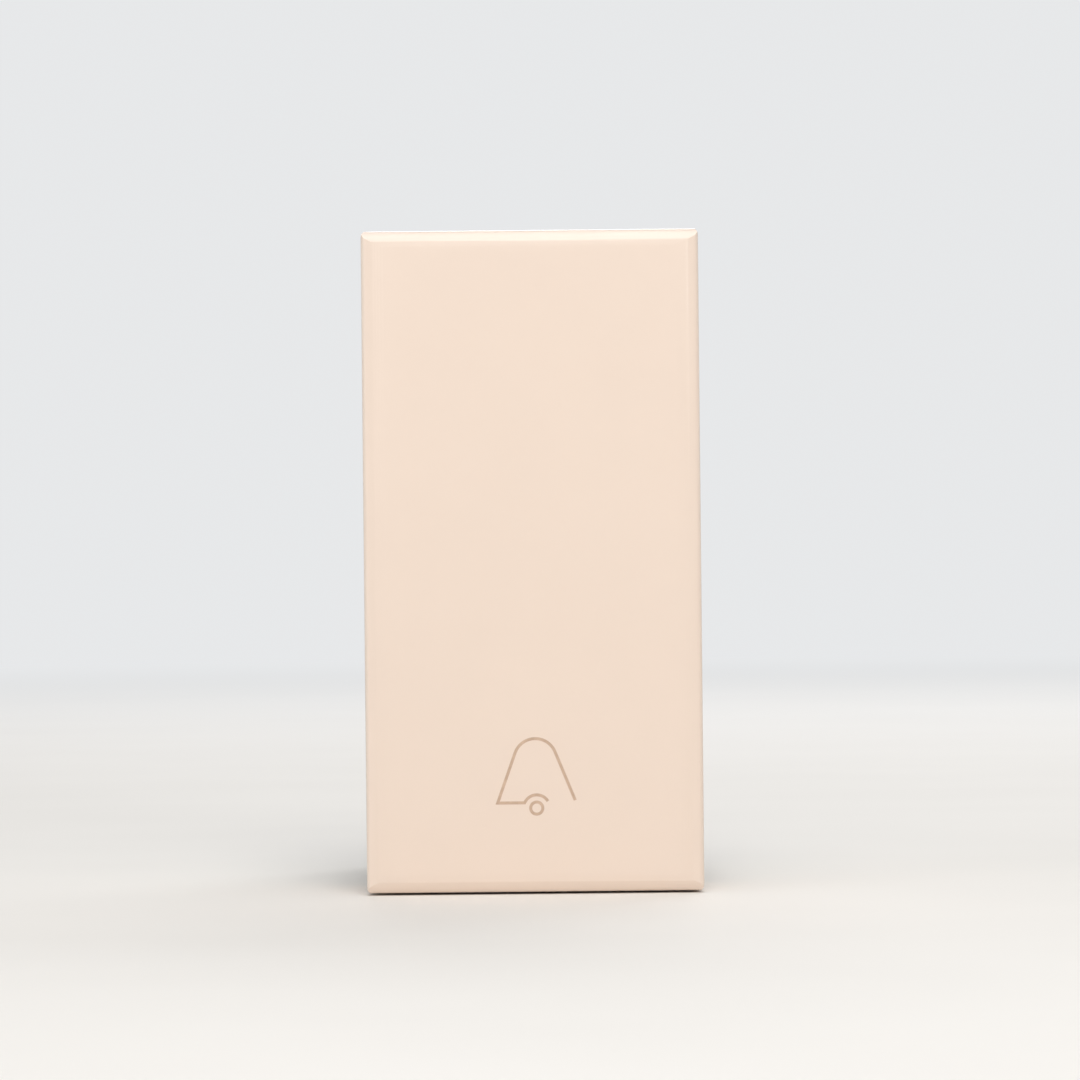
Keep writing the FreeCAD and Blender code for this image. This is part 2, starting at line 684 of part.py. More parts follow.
def make_housing():
    """Mechanism box, open at both ends, with seat ribs, snap windows and wire bores."""
    outside = rounded_box(HOUSING_HALF_X, PLATE_HALF_Z, HOUSING_CORNER_R, PLATE_REAR, HOUSING_REAR)
    room = box(
        -ROOM_HALF_X, ROOM_HALF_X, PLATE_REAR - OVERCUT, HOUSING_REAR + OVERCUT, -ROOM_HALF_Z, ROOM_HALF_Z
    )
    ribs = []
    for shape in seat_ribs():
        ribs += both_sides(shape)
    walls = joined(outside.cut(room), ribs)

    cuts = []
    for side in (-1, 1):
        cuts += both_sides(arm_window(side * FRAME_ARM_Z, FRAME_ARM_WIDTH, FRAME_TOOTH_Y))
        cuts += both_sides(arm_window(side * COVER_ARM_Z, COVER_ARM_WIDTH, COVER_TOOTH_Y))
        cuts += both_terminals(wire_bore(TERMINAL_X + side * WIRE_OFFSET))
    return single(walls.cut(cuts).removeSplitter())


# Carrier between the contact room and the terminals

def pad_notch():
    """Notch in the carrier's right-hand edge for the riser of the contact pad."""
    half = PAD_HALF_Z + PAD_SLOT_GAP
    return box(
        PAD_INNER_X - PAD_SLOT_END_GAP, ROOM_HALF_X, CARRIER_FRONT - OVERCUT, CARRIER_REAR + OVERCUT,
        PRESS_Z - half, PRESS_Z + half,
    )


def terminal_supports():
    """Post and fences of the load terminal: they carry the bed and stop the nut turning."""
    nut_half = NUT_SIZE / 2 + FIT_GAP
    post_x = TERMINAL_X - nut_half
    post = box(
        post_x - POST_WIDTH, post_x, CARRIER_REAR, BED_FRONT,
        TERMINAL_Z - BED_HALF_Z, TERMINAL_Z + BED_HALF_Z,
    )
    supports = [post]
    for side in (-1, 1):
        middle = TERMINAL_Z + side * (nut_half + FENCE_WIDTH / 2)
        fence = box(
            TERMINAL_X - FENCE_HALF_X, TERMINAL_X + FENCE_HALF_X, CARRIER_REAR, BED_FRONT - FIT_GAP,
            middle - FENCE_WIDTH / 2, middle + FENCE_WIDTH / 2,
        )
        supports.append(fence)
    return supports


def make_carrier():
    """Inner plate that carries strips and nuts, with the spring cup on its front."""
    plate = box(
        -ROOM_HALF_X + FIT_GAP, ROOM_HALF_X - FIT_GAP, CARRIER_FRONT, CARRIER_REAR,
        -ROOM_HALF_Z + FIT_GAP, ROOM_HALF_Z - FIT_GAP,
    )
    cup_front = CARRIER_FRONT - CUP_HEIGHT
    additions = [bar_y(0, PRESS_Z, CUP_OUTER_R, cup_front, CARRIER_FRONT)]
    for shape in terminal_supports():
        additions += both_terminals(shape)
    carrier = joined(plate, additions)

    screw_room = SHANK_R + SCREW_HOLE_GAP
    screw_hole = bar_y(TERMINAL_X, TERMINAL_Z, screw_room, CARRIER_FRONT - OVERCUT, CARRIER_REAR + OVERCUT)
    cuts = [bar_y(0, PRESS_Z, CUP_INNER_R, cup_front - OVERCUT, CARRIER_FRONT)]
    cuts += both_terminals(screw_hole)
    cuts += both_sides(pad_notch())
    return single(carrier.cut(cuts).removeSplitter())


# Rear cover

def cover_plug():
    """Locating ring under the lid, slit beside its snap arms."""
    front = HOUSING_REAR - COVER_PLUG_DEPTH
    inner_x = PLUG_HALF_X - PLUG_WALL
    inner_z = PLUG_HALF_Z - PLUG_WALL
    ring = box(-PLUG_HALF_X, PLUG_HALF_X, front, HOUSING_REAR, -PLUG_HALF_Z, PLUG_HALF_Z)
    cuts = [box(-inner_x, inner_x, front - OVERCUT, HOUSING_REAR, -inner_z, inner_z)]
    for z in (-COVER_ARM_Z, COVER_ARM_Z):
        for slit in arm_slits(z, COVER_ARM_WIDTH, front - OVERCUT, HOUSING_REAR):
            cuts += both_sides(slit)
    return ring.cut(cuts)


def make_rear_cover():
    """Back lid with screwdriver wells, keeper ribs over the strips and snap arms."""
    lid = rounded_box(HOUSING_HALF_X, PLATE_HALF_Z, HOUSING_CORNER_R, HOUSING_REAR, COVER_REAR)
    lid = chamfered_rear(lid, COVER_REAR, LID_CHAMFER)

    well_front = HOUSING_REAR - COVER_PLUG_DEPTH
    well = bar_y(TERMINAL_X, TERMINAL_Z, WELL_R + WELL_WALL, well_front, HOUSING_REAR)
    keeper_x = BED_INNER_X + FIT_GAP
    keeper = box(
        keeper_x, keeper_x + KEEPER_WIDTH, BED_REAR + FIT_GAP, HOUSING_REAR,
        TERMINAL_Z - BED_HALF_Z, TERMINAL_Z + BED_HALF_Z,
    )
    additions = [cover_plug()] + both_terminals(well) + both_terminals(keeper)
    for z in (-COVER_ARM_Z, COVER_ARM_Z):
        additions += both_sides(snap_arm(z, COVER_ARM_WIDTH, HOUSING_REAR, COVER_ARM_END, COVER_TOOTH_Y))
    cover = joined(lid, additions)

    head_room = bar_y(TERMINAL_X, TERMINAL_Z, WELL_R, well_front - OVERCUT, DRIVER_FRONT)
    hole = bar_y(TERMINAL_X, TERMINAL_Z, DRIVER_HOLE_R, well_front, COVER_REAR + OVERCUT)
    lead_r = DRIVER_HOLE_R + DRIVER_LEAD
    lead = cone_y(TERMINAL_X, TERMINAL_Z, DRIVER_HOLE_R, lead_r, COVER_REAR - DRIVER_LEAD, COVER_REAR)
    cuts = both_terminals(head_room) + both_terminals(hole) + both_terminals(lead)
    return single(cover.cut(cuts).removeSplitter())


# Plunger and springs

def make_plunger():
    """Domed stem, yoke with the bridge window, and the spring spigot."""
    stem = box(
        -STEM_HALF_X, STEM_HALF_X, PLUNGER_TIP, YOKE_FRONT, PRESS_Z - STEM_HALF_Z, PRESS_Z + STEM_HALF_Z
    )
    dome_y = PLUNGER_TIP + DOME_R
    dome = bar_x(dome_y, PRESS_Z, DOME_R, -STEM_HALF_X, STEM_HALF_X)
    below_dome = box(-STEM_HALF_X, STEM_HALF_X, dome_y, YOKE_FRONT, PRESS_Z - DOME_R, PRESS_Z + DOME_R)
    head = stem.common(dome.fuse(below_dome))
    yoke = box(
        -STEM_HALF_X, STEM_HALF_X, YOKE_FRONT, YOKE_REAR, PRESS_Z - YOKE_HALF_Z, PRESS_Z + YOKE_HALF_Z
    )
    yoke = yoke.makeFillet(YOKE_EDGE_R, edges_along(yoke, Vector(1, 0, 0)))
    spigot_rear = YOKE_REAR + SPIGOT_LENGTH
    spigot = bar_y(0, PRESS_Z, SPIGOT_R, YOKE_REAR, spigot_rear)
    spigot = chamfered_rear(spigot, spigot_rear, SPIGOT_CHAMFER)
    half = BRIDGE_HALF_Z + BRIDGE_SIDE_GAP
    reach = STEM_HALF_X + OVERCUT
    window = box(-reach, reach, WINDOW_FRONT, BRIDGE_REAR, PRESS_Z - half, PRESS_Z + half)
    return single(joined(head, [yoke, spigot]).cut(window).removeSplitter())


def coil_spring(mean_r, wire_r, turns, y0, y1):
    """Compression spring along Y behind the button: wire sections joined along a helix, ends ground."""
    length = y1 - y0 + wire_r
    steps = int(turns * SPRING_STEPS)
    sections = []
    for step in range(steps + 1):
        turn = 2 * math.pi * step / SPRING_STEPS
        centre_y = y0 - wire_r / 2 + length * step / steps
        corners = []
        for side in range(WIRE_SIDES):
            around = 2 * math.pi * side / WIRE_SIDES
            radius = mean_r + wire_r * math.cos(around)
            y = centre_y + wire_r * math.sin(around)
            corners.append(Vector(radius * math.cos(turn), y, PRESS_Z + radius * math.sin(turn)))
        sections.append(Part.makePolygon(corners + corners[:1]))
    coil = Part.makeLoft(sections, True, True)
    reach = mean_r + 2 * wire_r
    return single(coil.common(box(-reach, reach, y0, y1, PRESS_Z - reach, PRESS_Z + reach)))


def make_return_spring():
    """Spring that brings plunger and rocker back."""
    return coil_spring(RETURN_MEAN_R, RETURN_WIRE_R, RETURN_TURNS, YOKE_REAR, CARRIER_FRONT)


def make_contact_spring():
    """Spring that presses the bridge onto the fixed contacts."""
    return coil_spring(CONTACT_MEAN_R, CONTACT_WIRE_R, CONTACT_TURNS, WINDOW_FRONT, BRIDGE_FRONT)


# Contacts and strips

def make_bridge():
    """Moving contact bar with rounded ends."""
    bar = box(
        -BRIDGE_HALF_X, BRIDGE_HALF_X, BRIDGE_FRONT, BRIDGE_REAR,
        PRESS_Z - BRIDGE_HALF_Z, PRESS_Z + BRIDGE_HALF_Z,
    )
    return single(bar.makeFillet(BRIDGE_CORNER_R, edges_along(bar, Vector(0, 1, 0))))


def contact_button(y0, y1, face_y):
    """Right-hand contact button welded to its carrier, its rim chamfered at the working face."""
    button = bar_y(TIP_X, PRESS_Z, TIP_R, y0, y1)
    rim = [edge for edge in button.Edges if abs(edge.BoundBox.Center.y - face_y) < NEAR]
    return single(button.makeChamfer(TIP_CHAMFER, rim))


def make_bridge_tip():
    """Right-hand contact of the moving bridge."""
    return contact_button(BRIDGE_REAR, TIP_FACE, TIP_FACE)


def make_fixed_tip():
    """Right-hand contact of the fixed pad."""
    return contact_button(FIXED_TIP_FACE, PAD_FRONT, FIXED_TIP_FACE)


def edge_at(shape, x, y):
    """The edge along Z that stands at (x, y)."""
    for edge in edges_along(shape, Vector(0, 0, 1)):
        bound = edge.BoundBox
        if abs(bound.XMin - x) + abs(bound.YMin - y) < NEAR:
            return edge
    raise ValueError("no edge there")


def elbow(inner_x, outer_face, inner_face, riser_end, z0, z1):
    """Right-hand bend of a strip: a flat that turns into a riser along the side wall."""
    riser_x = STRIP_OUTER_X - STRIP_THICK
    outline = [
        (inner_x, outer_face),
        (STRIP_OUTER_X, outer_face),
        (STRIP_OUTER_X, riser_end),
        (riser_x, riser_end),
        (riser_x, inner_face),
        (inner_x, inner_face),
    ]
    bend = prism_z(outline, z0, z1)
    free_end = [edge for edge in edges_along(bend, Vector(0, 1, 0)) if edge.BoundBox.XMax < inner_x + NEAR]
    bend = bend.makeChamfer(STRIP_CHAMFER, free_end)
    bend = bend.makeFillet(STRIP_BEND_R + STRIP_THICK, [edge_at(bend, STRIP_OUTER_X, outer_face)])
    return bend.makeFillet(STRIP_BEND_R, [edge_at(bend, riser_x, inner_face)])


def pad_elbow(riser_end):
    """Contact pad with its riser."""
    return elbow(PAD_INNER_X, PAD_FRONT, PAD_REAR, riser_end, PRESS_Z - PAD_HALF_Z, PRESS_Z + PAD_HALF_Z)


def bed_elbow(z, riser_end):
    """Terminal bed at height z, drilled for the screw."""
    bed = elbow(BED_INNER_X, BED_REAR, BED_FRONT, riser_end, z - BED_HALF_Z, z + BED_HALF_Z)
    return bed.cut(bar_y(TERMINAL_X, z, SCREW_HOLE_R, BED_FRONT - OVERCUT, BED_REAR + OVERCUT))


def make_load_strip():
    """Brass strip: contact pad, riser through the partition, and the terminal bed."""
    riser_end = BED_REAR - RUN_DEPTH
    return single(joined(pad_elbow(riser_end), [bed_elbow(TERMINAL_Z, riser_end)]))


def make_line_strip():
    """Brass strip on the left: its bed is at the top, so a run along the side wall joins it to the pad."""
    riser_x = STRIP_OUTER_X - STRIP_THICK
    bed_z = -TERMINAL_Z
    run_front = BED_REAR - RUN_DEPTH
    run = box(riser_x, STRIP_OUTER_X, run_front, BED_REAR, PRESS_Z - PAD_HALF_Z, bed_z - BED_HALF_Z)
    strip = joined(pad_elbow(run_front), [run, bed_elbow(bed_z, run_front)])
    return mirrored_x(single(strip))


# Terminals

def make_load_nut():
    """Square nut under the load bed."""
    half = NUT_SIZE / 2
    nut = box(
        TERMINAL_X - half, TERMINAL_X + half, NUT_FRONT, BED_FRONT, TERMINAL_Z - half, TERMINAL_Z + half
    )
    nut = nut.makeChamfer(NUT_CHAMFER, edges_along(nut, Vector(0, 1, 0)))
    hole = bar_y(TERMINAL_X, TERMINAL_Z, NUT_HOLE_R, NUT_FRONT - OVERCUT, BED_FRONT + OVERCUT)
    return single(nut.cut(hole))


def make_load_clamp_plate():
    """Clamp plate with grip grooves across the wires."""
    plate = box(
        TERMINAL_X - CLAMP_HALF_X, TERMINAL_X + CLAMP_HALF_X, CLAMP_FRONT, CLAMP_REAR,
        TERMINAL_Z - CLAMP_HALF_Z, TERMINAL_Z + CLAMP_HALF_Z,
    )
    plate = plate.makeChamfer(CLAMP_CHAMFER, edges_along(plate, Vector(0, 1, 0)))
    cuts = [bar_y(TERMINAL_X, TERMINAL_Z, SCREW_HOLE_R, CLAMP_FRONT - OVERCUT, CLAMP_REAR + OVERCUT)]
    reach = CLAMP_HALF_X + OVERCUT
    for step in range(GROOVE_COUNT):
        z = TERMINAL_Z + (step - (GROOVE_COUNT - 1) / 2) * GROOVE_PITCH
        outline = [
            (CLAMP_FRONT, z - GROOVE_HALF),
            (CLAMP_FRONT + GROOVE_DEPTH, z),
            (CLAMP_FRONT, z + GROOVE_HALF),
        ]
        cuts.append(prism_x(outline, TERMINAL_X - reach, TERMINAL_X + reach))
    return single(plate.cut(cuts))


def make_load_screw():
    """Captive terminal screw: cheese head with a combined slot and cross, and a plain shank."""
    head = bar_y(TERMINAL_X, TERMINAL_Z, HEAD_R, HEAD_FRONT, HEAD_REAR)
    head_rim = [edge for edge in head.Edges if edge.BoundBox.YMin > HEAD_REAR - NEAR]
    head = head.makeChamfer(HEAD_CHAMFER, head_rim)
    shank = bar_y(TERMINAL_X, TERMINAL_Z, SHANK_R, SCREW_TIP, HEAD_FRONT)
    tip_rim = [edge for edge in shank.Edges if edge.BoundBox.YMax < SCREW_TIP + NEAR]
    shank = shank.makeChamfer(SHANK_CHAMFER, tip_rim)
    slot_floor = HEAD_REAR - SLOT_DEPTH
    slot_end = HEAD_REAR + OVERCUT
    reach = HEAD_R + OVERCUT
    slot = box(
        TERMINAL_X - reach, TERMINAL_X + reach, slot_floor, slot_end,
        TERMINAL_Z - SLOT_WIDTH / 2, TERMINAL_Z + SLOT_WIDTH / 2,
    )
    cross = box(
        TERMINAL_X - CROSS_WIDTH / 2, TERMINAL_X + CROSS_WIDTH / 2, slot_floor, slot_end,
        TERMINAL_Z - CROSS_REACH, TERMINAL_Z + CROSS_REACH,
    )
    return single(joined(head, [shank]).cut([slot, cross]))


def all_pieces():
    """Every piece by its node name."""
    nut = make_load_nut()
    plate = make_load_clamp_plate()
    screw = make_load_screw()
    bridge_tip = make_bridge_tip()
    fixed_tip = make_fixed_tip()
    return {
        "rocker": make_rocker(),
        "front_frame": make_front_frame(),
        "housing": make_housing(),
        "carrier": make_carrier(),
        "rear_cover": make_rear_cover(),
        "plunger": make_plunger(),
        "return_spring": make_return_spring(),
        "contact_spring": make_contact_spring(),
        "contact_bridge": make_bridge(),
        "bridge_tip_left": mirrored_x(bridge_tip),
        "bridge_tip_right": bridge_tip,
        "line_strip": make_line_strip(),
        "load_strip": make_load_strip(),
        "line_tip": mirrored_x(fixed_tip),
        "load_tip": fixed_tip,
        "line_nut": half_turn(nut),
        "load_nut": nut,
        "line_clamp_plate": half_turn(plate),
        "load_clamp_plate": plate,
        "line_screw": half_turn(screw),
        "load_screw": screw,
    }


os.makedirs("parts", exist_ok=True)
for name, piece in all_pieces().items():
    assert piece.isValid(), name
    piece.exportStep("parts/" + name + ".step")
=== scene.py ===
"""Looks of a one-module doorbell push insert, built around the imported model."""

import json
import math

import bmesh
import bpy
from mathutils import Matrix, Vector

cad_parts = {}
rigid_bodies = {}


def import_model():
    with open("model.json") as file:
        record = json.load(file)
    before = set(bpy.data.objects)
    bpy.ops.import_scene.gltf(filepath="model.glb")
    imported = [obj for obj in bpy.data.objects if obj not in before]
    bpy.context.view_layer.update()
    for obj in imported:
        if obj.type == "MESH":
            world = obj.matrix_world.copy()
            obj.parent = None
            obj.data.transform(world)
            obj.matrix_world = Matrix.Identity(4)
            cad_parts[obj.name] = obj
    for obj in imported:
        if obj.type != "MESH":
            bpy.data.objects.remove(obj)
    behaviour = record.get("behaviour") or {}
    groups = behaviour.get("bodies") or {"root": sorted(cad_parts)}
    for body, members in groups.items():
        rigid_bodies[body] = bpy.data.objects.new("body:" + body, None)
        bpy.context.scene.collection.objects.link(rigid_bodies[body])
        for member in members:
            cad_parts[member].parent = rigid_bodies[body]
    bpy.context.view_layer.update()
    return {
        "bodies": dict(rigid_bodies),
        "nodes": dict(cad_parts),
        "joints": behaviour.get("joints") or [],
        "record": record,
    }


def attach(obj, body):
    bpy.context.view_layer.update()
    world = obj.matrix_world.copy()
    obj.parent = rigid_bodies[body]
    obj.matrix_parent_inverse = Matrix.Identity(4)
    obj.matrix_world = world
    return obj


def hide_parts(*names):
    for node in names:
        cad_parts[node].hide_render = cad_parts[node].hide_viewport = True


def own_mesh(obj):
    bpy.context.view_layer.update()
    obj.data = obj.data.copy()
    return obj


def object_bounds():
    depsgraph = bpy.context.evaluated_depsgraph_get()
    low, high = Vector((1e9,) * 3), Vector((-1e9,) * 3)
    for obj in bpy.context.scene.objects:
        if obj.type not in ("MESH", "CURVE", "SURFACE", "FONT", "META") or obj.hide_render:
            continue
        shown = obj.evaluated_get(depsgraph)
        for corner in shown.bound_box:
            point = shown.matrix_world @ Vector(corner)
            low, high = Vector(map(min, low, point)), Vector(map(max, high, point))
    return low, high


MM = 0.001

# Rocker, in millimetres, as in the part
HALF_X = 11.15
HALF_Z = 22.0
FACE_Y = -10.5
SKIRT_Y = -4.6
END_ROUND = 2.2
END_ANGLE = math.radians(43)
END_DRAFT = 0.14
SIDE_ROUND = 6.0
SIDE_WIDTH = 1.9
CROWN = 0.03
RIM = 0.4
PLAN_CORNER = 0.6
FACE_WALL = 1.7
SKIRT_WALL = 1.3
PIVOT_Y = -3.7
EAR_R = 2.5
EAR_FLARE = 1.2
EAR_START = 0.01
PIN_R = 1.3
PIN_CHAMFER = 0.3
PIN_TIP_X = 8.0
RIB_X = 6.0
RIB_HALF = 0.45
RIB_HEIGHT = 1.2
RIB_LENGTH = 17.5
CROSS_Z = 5.5
CROSS_HEIGHT = 0.9
PRESS_Z = -14.0
FINGER_REAR = -6.9
REST_STOP = (16.0, -2.25)
PRESS_STOP = (-17.4, -4.027)
INNER_Y = FACE_Y + FACE_WALL
FINGER_HALF = (2.5, 2.2)
FINGER_HALF_X = 2.5
STOP_HALF = (0.75, 0.6)
ROOT = 0.2
EAR_ROOT = 0.1
ROCKER_SHARP = math.radians(24)

# Steps of the round forms
END_STEPS = 16
CROWN_STEPS = 10
SIDE_STEPS = 8
RIM_STEPS = 8
CORNER_STEPS = 8
INNER_CORNER_STEPS = 6
EAR_STEPS = 32
PIN_COLUMNS = 48

# Overshoot of the cutting tools, in millimetres
CLEAR = 1

# Printed bell, in millimetres from the middle of the face
STROKE = 0.2
PRINT_PROUD = 0.008
PRINT_DEPTH = 0.04
BELL_FOOT = (-2.46, -15.945)
BELL_FREE_END = (2.66, -15.80)
BELL_DOME = (0.047, -13.129)
BELL_DOME_R = 1.412
CLAPPER = (0.115, -16.30)
CLAPPER_R = 0.4
ARCH_R = 0.87
ARCH_END_ANGLE = math.radians(31)
ARCH_STEPS = 20
DOME_STEPS = 32
CLAPPER_STEPS = 40
SHARPEST_MITRE = 0.5

# Springs and screws, in millimetres
SPRING_SIDES = 10
SPRING_STEPS = 28
CLOSED_TURNS = 0.8
RETURN_SPAN = (8.6, 12.4)
RETURN_MEAN_R = 1.5
RETURN_WIRE_R = 0.175
RETURN_TURNS = 3.4
CONTACT_SPAN = (4.4, 6.6)
CONTACT_MEAN_R = 1.2
CONTACT_WIRE_R = 0.15
CONTACT_TURNS = 2.0
TERMINAL = (5.0, -14.0)
HEAD_R = 2.75
HEAD_SPAN = (20.05, 22.05)
HEAD_CHAMFER = 0.3
HEAD_COLUMNS = 64
DRIVE_DEPTH = 1.1
SLOT_HALF = (4, 0.4)
CROSS_HALF = (0.5, 1.5)
SHANK_R = 1.7
SHANK_TIP = 14.4
SHANK_ROOT = 0.3
THREAD_PITCH = 0.6
THREAD_DEPTH = 0.28
THREAD_COLUMNS = 40
THREAD_ROWS = 8
THREAD_START = 0.2
THREAD_FLANK = 1.3
SCREW_SHARP = math.radians(35)

# Raised marks on the rear cover, in millimetres
COVER_BACK = 24.0
MARK_ROOT = 0.1
MARK_PROUD = 0.18
MARK_LINE = 0.35
GAUGE_Z = -5.0
GAUGE_HALF = (7.4, 1.8)
GAUGE_CORNER = 0.8
INSULATION = (-6.5, -3.5, 0.95)
BARE_WIRE = (-3.6, 6.4, 0.45)
ARROW_Z = (17.5, 19.0)
ARROW_HALF = 0.9
GATE_Z = 4.0
GATE_R = 1.3
GATE_PIP_R = 0.35
GAUGE_STEPS = 6
GATE_STEPS = 48
PIP_STEPS = 24

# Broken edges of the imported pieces, in millimetres and radians
EDGE_WIDTH = 0.04
EDGE_WIDTHS = {
    "front_frame": 0.07,
    "housing": 0.09,
    "carrier": 0.05,
    "rear_cover": 0.05,
    "line_strip": 0.02,
}
MARK_EDGE = 0.05
SAME_POINT = 0.001
FLAT_ANGLE = math.radians(0.3)
EDGE_ANGLE = math.radians(35)
EDGE_SEGMENTS = 2

# Picture: the photograph's middle, scale and roll, on a frame of 1080 by 1080
FRAME_PX = 1080
PX_PER_MM = 15.16
FACE_CENTRE_PX = (532.5, 561.0)
ROLL = math.radians(0.58)
LENS = 180.0
SENSOR = 36.0
CLIP = (0.01, 20)

# Light and stage, in metres and linear colour
WHITE = (1.0, 1.0, 1.0)
WARM = (1.0, 0.985, 0.96)
COOL = (0.90, 0.96, 1.0)
SKY = (0.96, 0.98, 1.0, 1)
SKY_STRENGTH = 0.365
BACKDROP = (0.80, 0.81, 0.82, 1.0)
FLOOR_R = 4
FLOOR_SIDES = 96
FLOOR_GAP = 0.00002
FLOOR_FADE = (0.10, 0.70)
FLOOR_DARK = (0.88, 0.85, 0.81)
FLOOR_PALE = (0.90, 0.87, 0.83)
FLOOR_ROUGHNESS = 0.8

# Printed ink, in linear colour
PRINT_DARK = (0.56, 0.383, 0.274)
PRINT_PALE = (0.668, 0.475, 0.344)
PRINT_ROUGHNESS = (0.45, 0.6)

# Materials: noise seldom leaves its range, and stretch is the metal's working direction
NOISE_LOW = 0.3
NOISE_HIGH = 0.7
PLASTIC_IOR = 1.5
COAT_ROUGHNESS = 0.2
GLOSS_SPREAD = 0.03
PLASTIC_BUMP = 0.35
METAL_BUMP = 0.3
SPOT_RANGE = (0.35, 0.65)
STREAK_SPREAD = (0.07, 0.09)
DRAWN = 0.1
ROLLED = 0.06
EVEN = (1, 1, 1)


# Meshes

def new_object(name, mesh):
    """Object of a mesh, in the scene."""
    made = bpy.data.objects.new(name, mesh)
    bpy.context.scene.collection.objects.link(made)
    return made


def mesh_from(name, points, faces):
    """Object from points in millimetres and faces by index."""
    mesh = bpy.data.meshes.new(name)
    mesh.from_pydata([Vector(p) * MM for p in points], [], faces)
    work = bmesh.new()
    work.from_mesh(mesh)
    bmesh.ops.recalc_face_normals(work, faces=work.faces)
    work.to_mesh(mesh)
    work.free()
    return new_object(name, mesh)


def extruded(name, outline, place, low, high):
    """Closed prism: place(a, b, c) gives the point of outline point (a, b) at depth c."""
    count = len(outline)
    points = [place(a, b, c) for c in (low, high) for a, b in outline]
    faces = [tuple(range(count)), tuple(range(count, 2 * count))]
    for i in range(count):
        j = (i + 1) % count
        faces.append((i, j, count + j, count + i))
    return mesh_from(name, points, faces)


def along_x(a, b, c):
    """Outline in (y, z)."""
    return (c, a, b)


def along_y(a, b, c):
    """Outline in (x, z)."""
    return (a, c, b)


def along_z(a, b, c):
    """Outline in (x, y)."""
    return (a, b, c)


def arc(centre, radius, start, end, steps):
    """Points of an arc from one direction to another, the short way round."""
    first = math.atan2(start[1], start[0])
    turn = math.atan2(end[1], end[0]) - first
    turn = (turn + math.pi) % (2 * math.pi) - math.pi
    found = []
    for step in range(steps + 1):
        angle = first + turn * step / steps
        found.append((centre[0] + radius * math.cos(angle), centre[1] + radius * math.sin(angle)))
    return found


def circle(centre, radius, steps):
    """Closed outline round a centre, its first point not repeated."""
    turns = [2 * math.pi * step / steps for step in range(steps)]
    return [(centre[0] + radius * math.cos(t), centre[1] + radius * math.sin(t)) for t in turns]


def rounded_rectangle(half_a, half_b, radius, steps):
    """Outline round the origin with rounded corners."""
    outline = []
    for sign_a, sign_b in ((1, 1), (-1, 1), (-1, -1), (1, -1)):
        centre = (sign_a * (half_a - radius), sign_b * (half_b - radius))
        sides = [(sign_a, 0), (0, sign_b)]
        if sign_a * sign_b < 0:
            sides.reverse()
        outline += arc(centre, radius, sides[0], sides[1], steps)
    return outline


def carve(target, tool, operation):
    """Boolean of two closed meshes; the tool goes."""
    modifier = target.modifiers.new("carve", "BOOLEAN")
    modifier.operation = operation
    modifier.object = tool
    modifier.solver = "EXACT"
    graph = bpy.context.evaluated_depsgraph_get()
    mesh = bpy.data.meshes.new_from_object(target.evaluated_get(graph))
    target.modifiers.clear()
    target.data = mesh
    bpy.data.objects.remove(tool)
    return target


def weighted_normals(piece):
    """Shading that keeps flat faces flat beside rounded ones."""
    weighted = piece.modifiers.new("weighted", "WEIGHTED_NORMAL")
    weighted.keep_sharp = True


def softened(piece, sharp_angle):
    """Smooth shading with the edges over the angle kept sharp."""
    piece.data.shade_smooth()
    piece.data.set_sharp_from_angle(angle=sharp_angle)
    weighted_normals(piece)
    return piece


# Rocker

def end_profile():
    """Half of the side view as (y, z), from the middle of the face to the skirt's rear edge."""
    rear_z = HALF_Z
    front_z = rear_z - END_DRAFT
    tangent_z = front_z - END_ROUND * math.sin(END_ANGLE)
    corner_y = FACE_Y + END_ROUND * (1 - math.cos(END_ANGLE))
    centre = Vector((FACE_Y + END_ROUND, tangent_z))
    wall = Vector((corner_y - SKIRT_Y, front_z - rear_z)).normalized()
    inward = Vector((-wall.y, wall.x))
    start = Vector((SKIRT_Y, rear_z)) + inward * RIM
    to_centre = centre - start
    along = to_centre.dot(wall)
    off = (to_centre - wall * along).length
    rim_centre = start + wall * (along + math.sqrt((END_ROUND - RIM) ** 2 - off ** 2))
    joint = (rim_centre - centre).normalized()
    outline = arc(centre, END_ROUND, (-1, 0), joint, END_STEPS)
    outline += arc(rim_centre, RIM, joint, -inward, RIM_STEPS)[1:]
    return outline + [(SKIRT_Y, rear_z)]


def long_edge_profile():
    """Half of the end view as (x, y), from the middle of the face to the skirt's rear edge."""
    soft_x = HALF_X - SIDE_WIDTH
    crown_r = (soft_x ** 2 + CROWN ** 2) / (2 * CROWN)
    crown_centre = (0, FACE_Y + crown_r)
    soft_y = FACE_Y + CROWN
    crown_end = (soft_x, soft_y - crown_centre[1])
    outline = arc(crown_centre, crown_r, (0, -1), crown_end, CROWN_STEPS)
    centre = Vector((soft_x, soft_y + SIDE_ROUND))
    rim_x = HALF_X - RIM
    rim_y = centre.y - math.sqrt((SIDE_ROUND - RIM) ** 2 - (rim_x - soft_x) ** 2)
    rim_centre = Vector((rim_x, rim_y))
    joint = (rim_centre - centre).normalized()
    outline += arc(centre, SIDE_ROUND, (0, -1), joint, SIDE_STEPS)[1:]
    outline += arc(rim_centre, RIM, joint, (1, 0), RIM_STEPS)[1:]
    return outline + [(HALF_X, SKIRT_Y)]


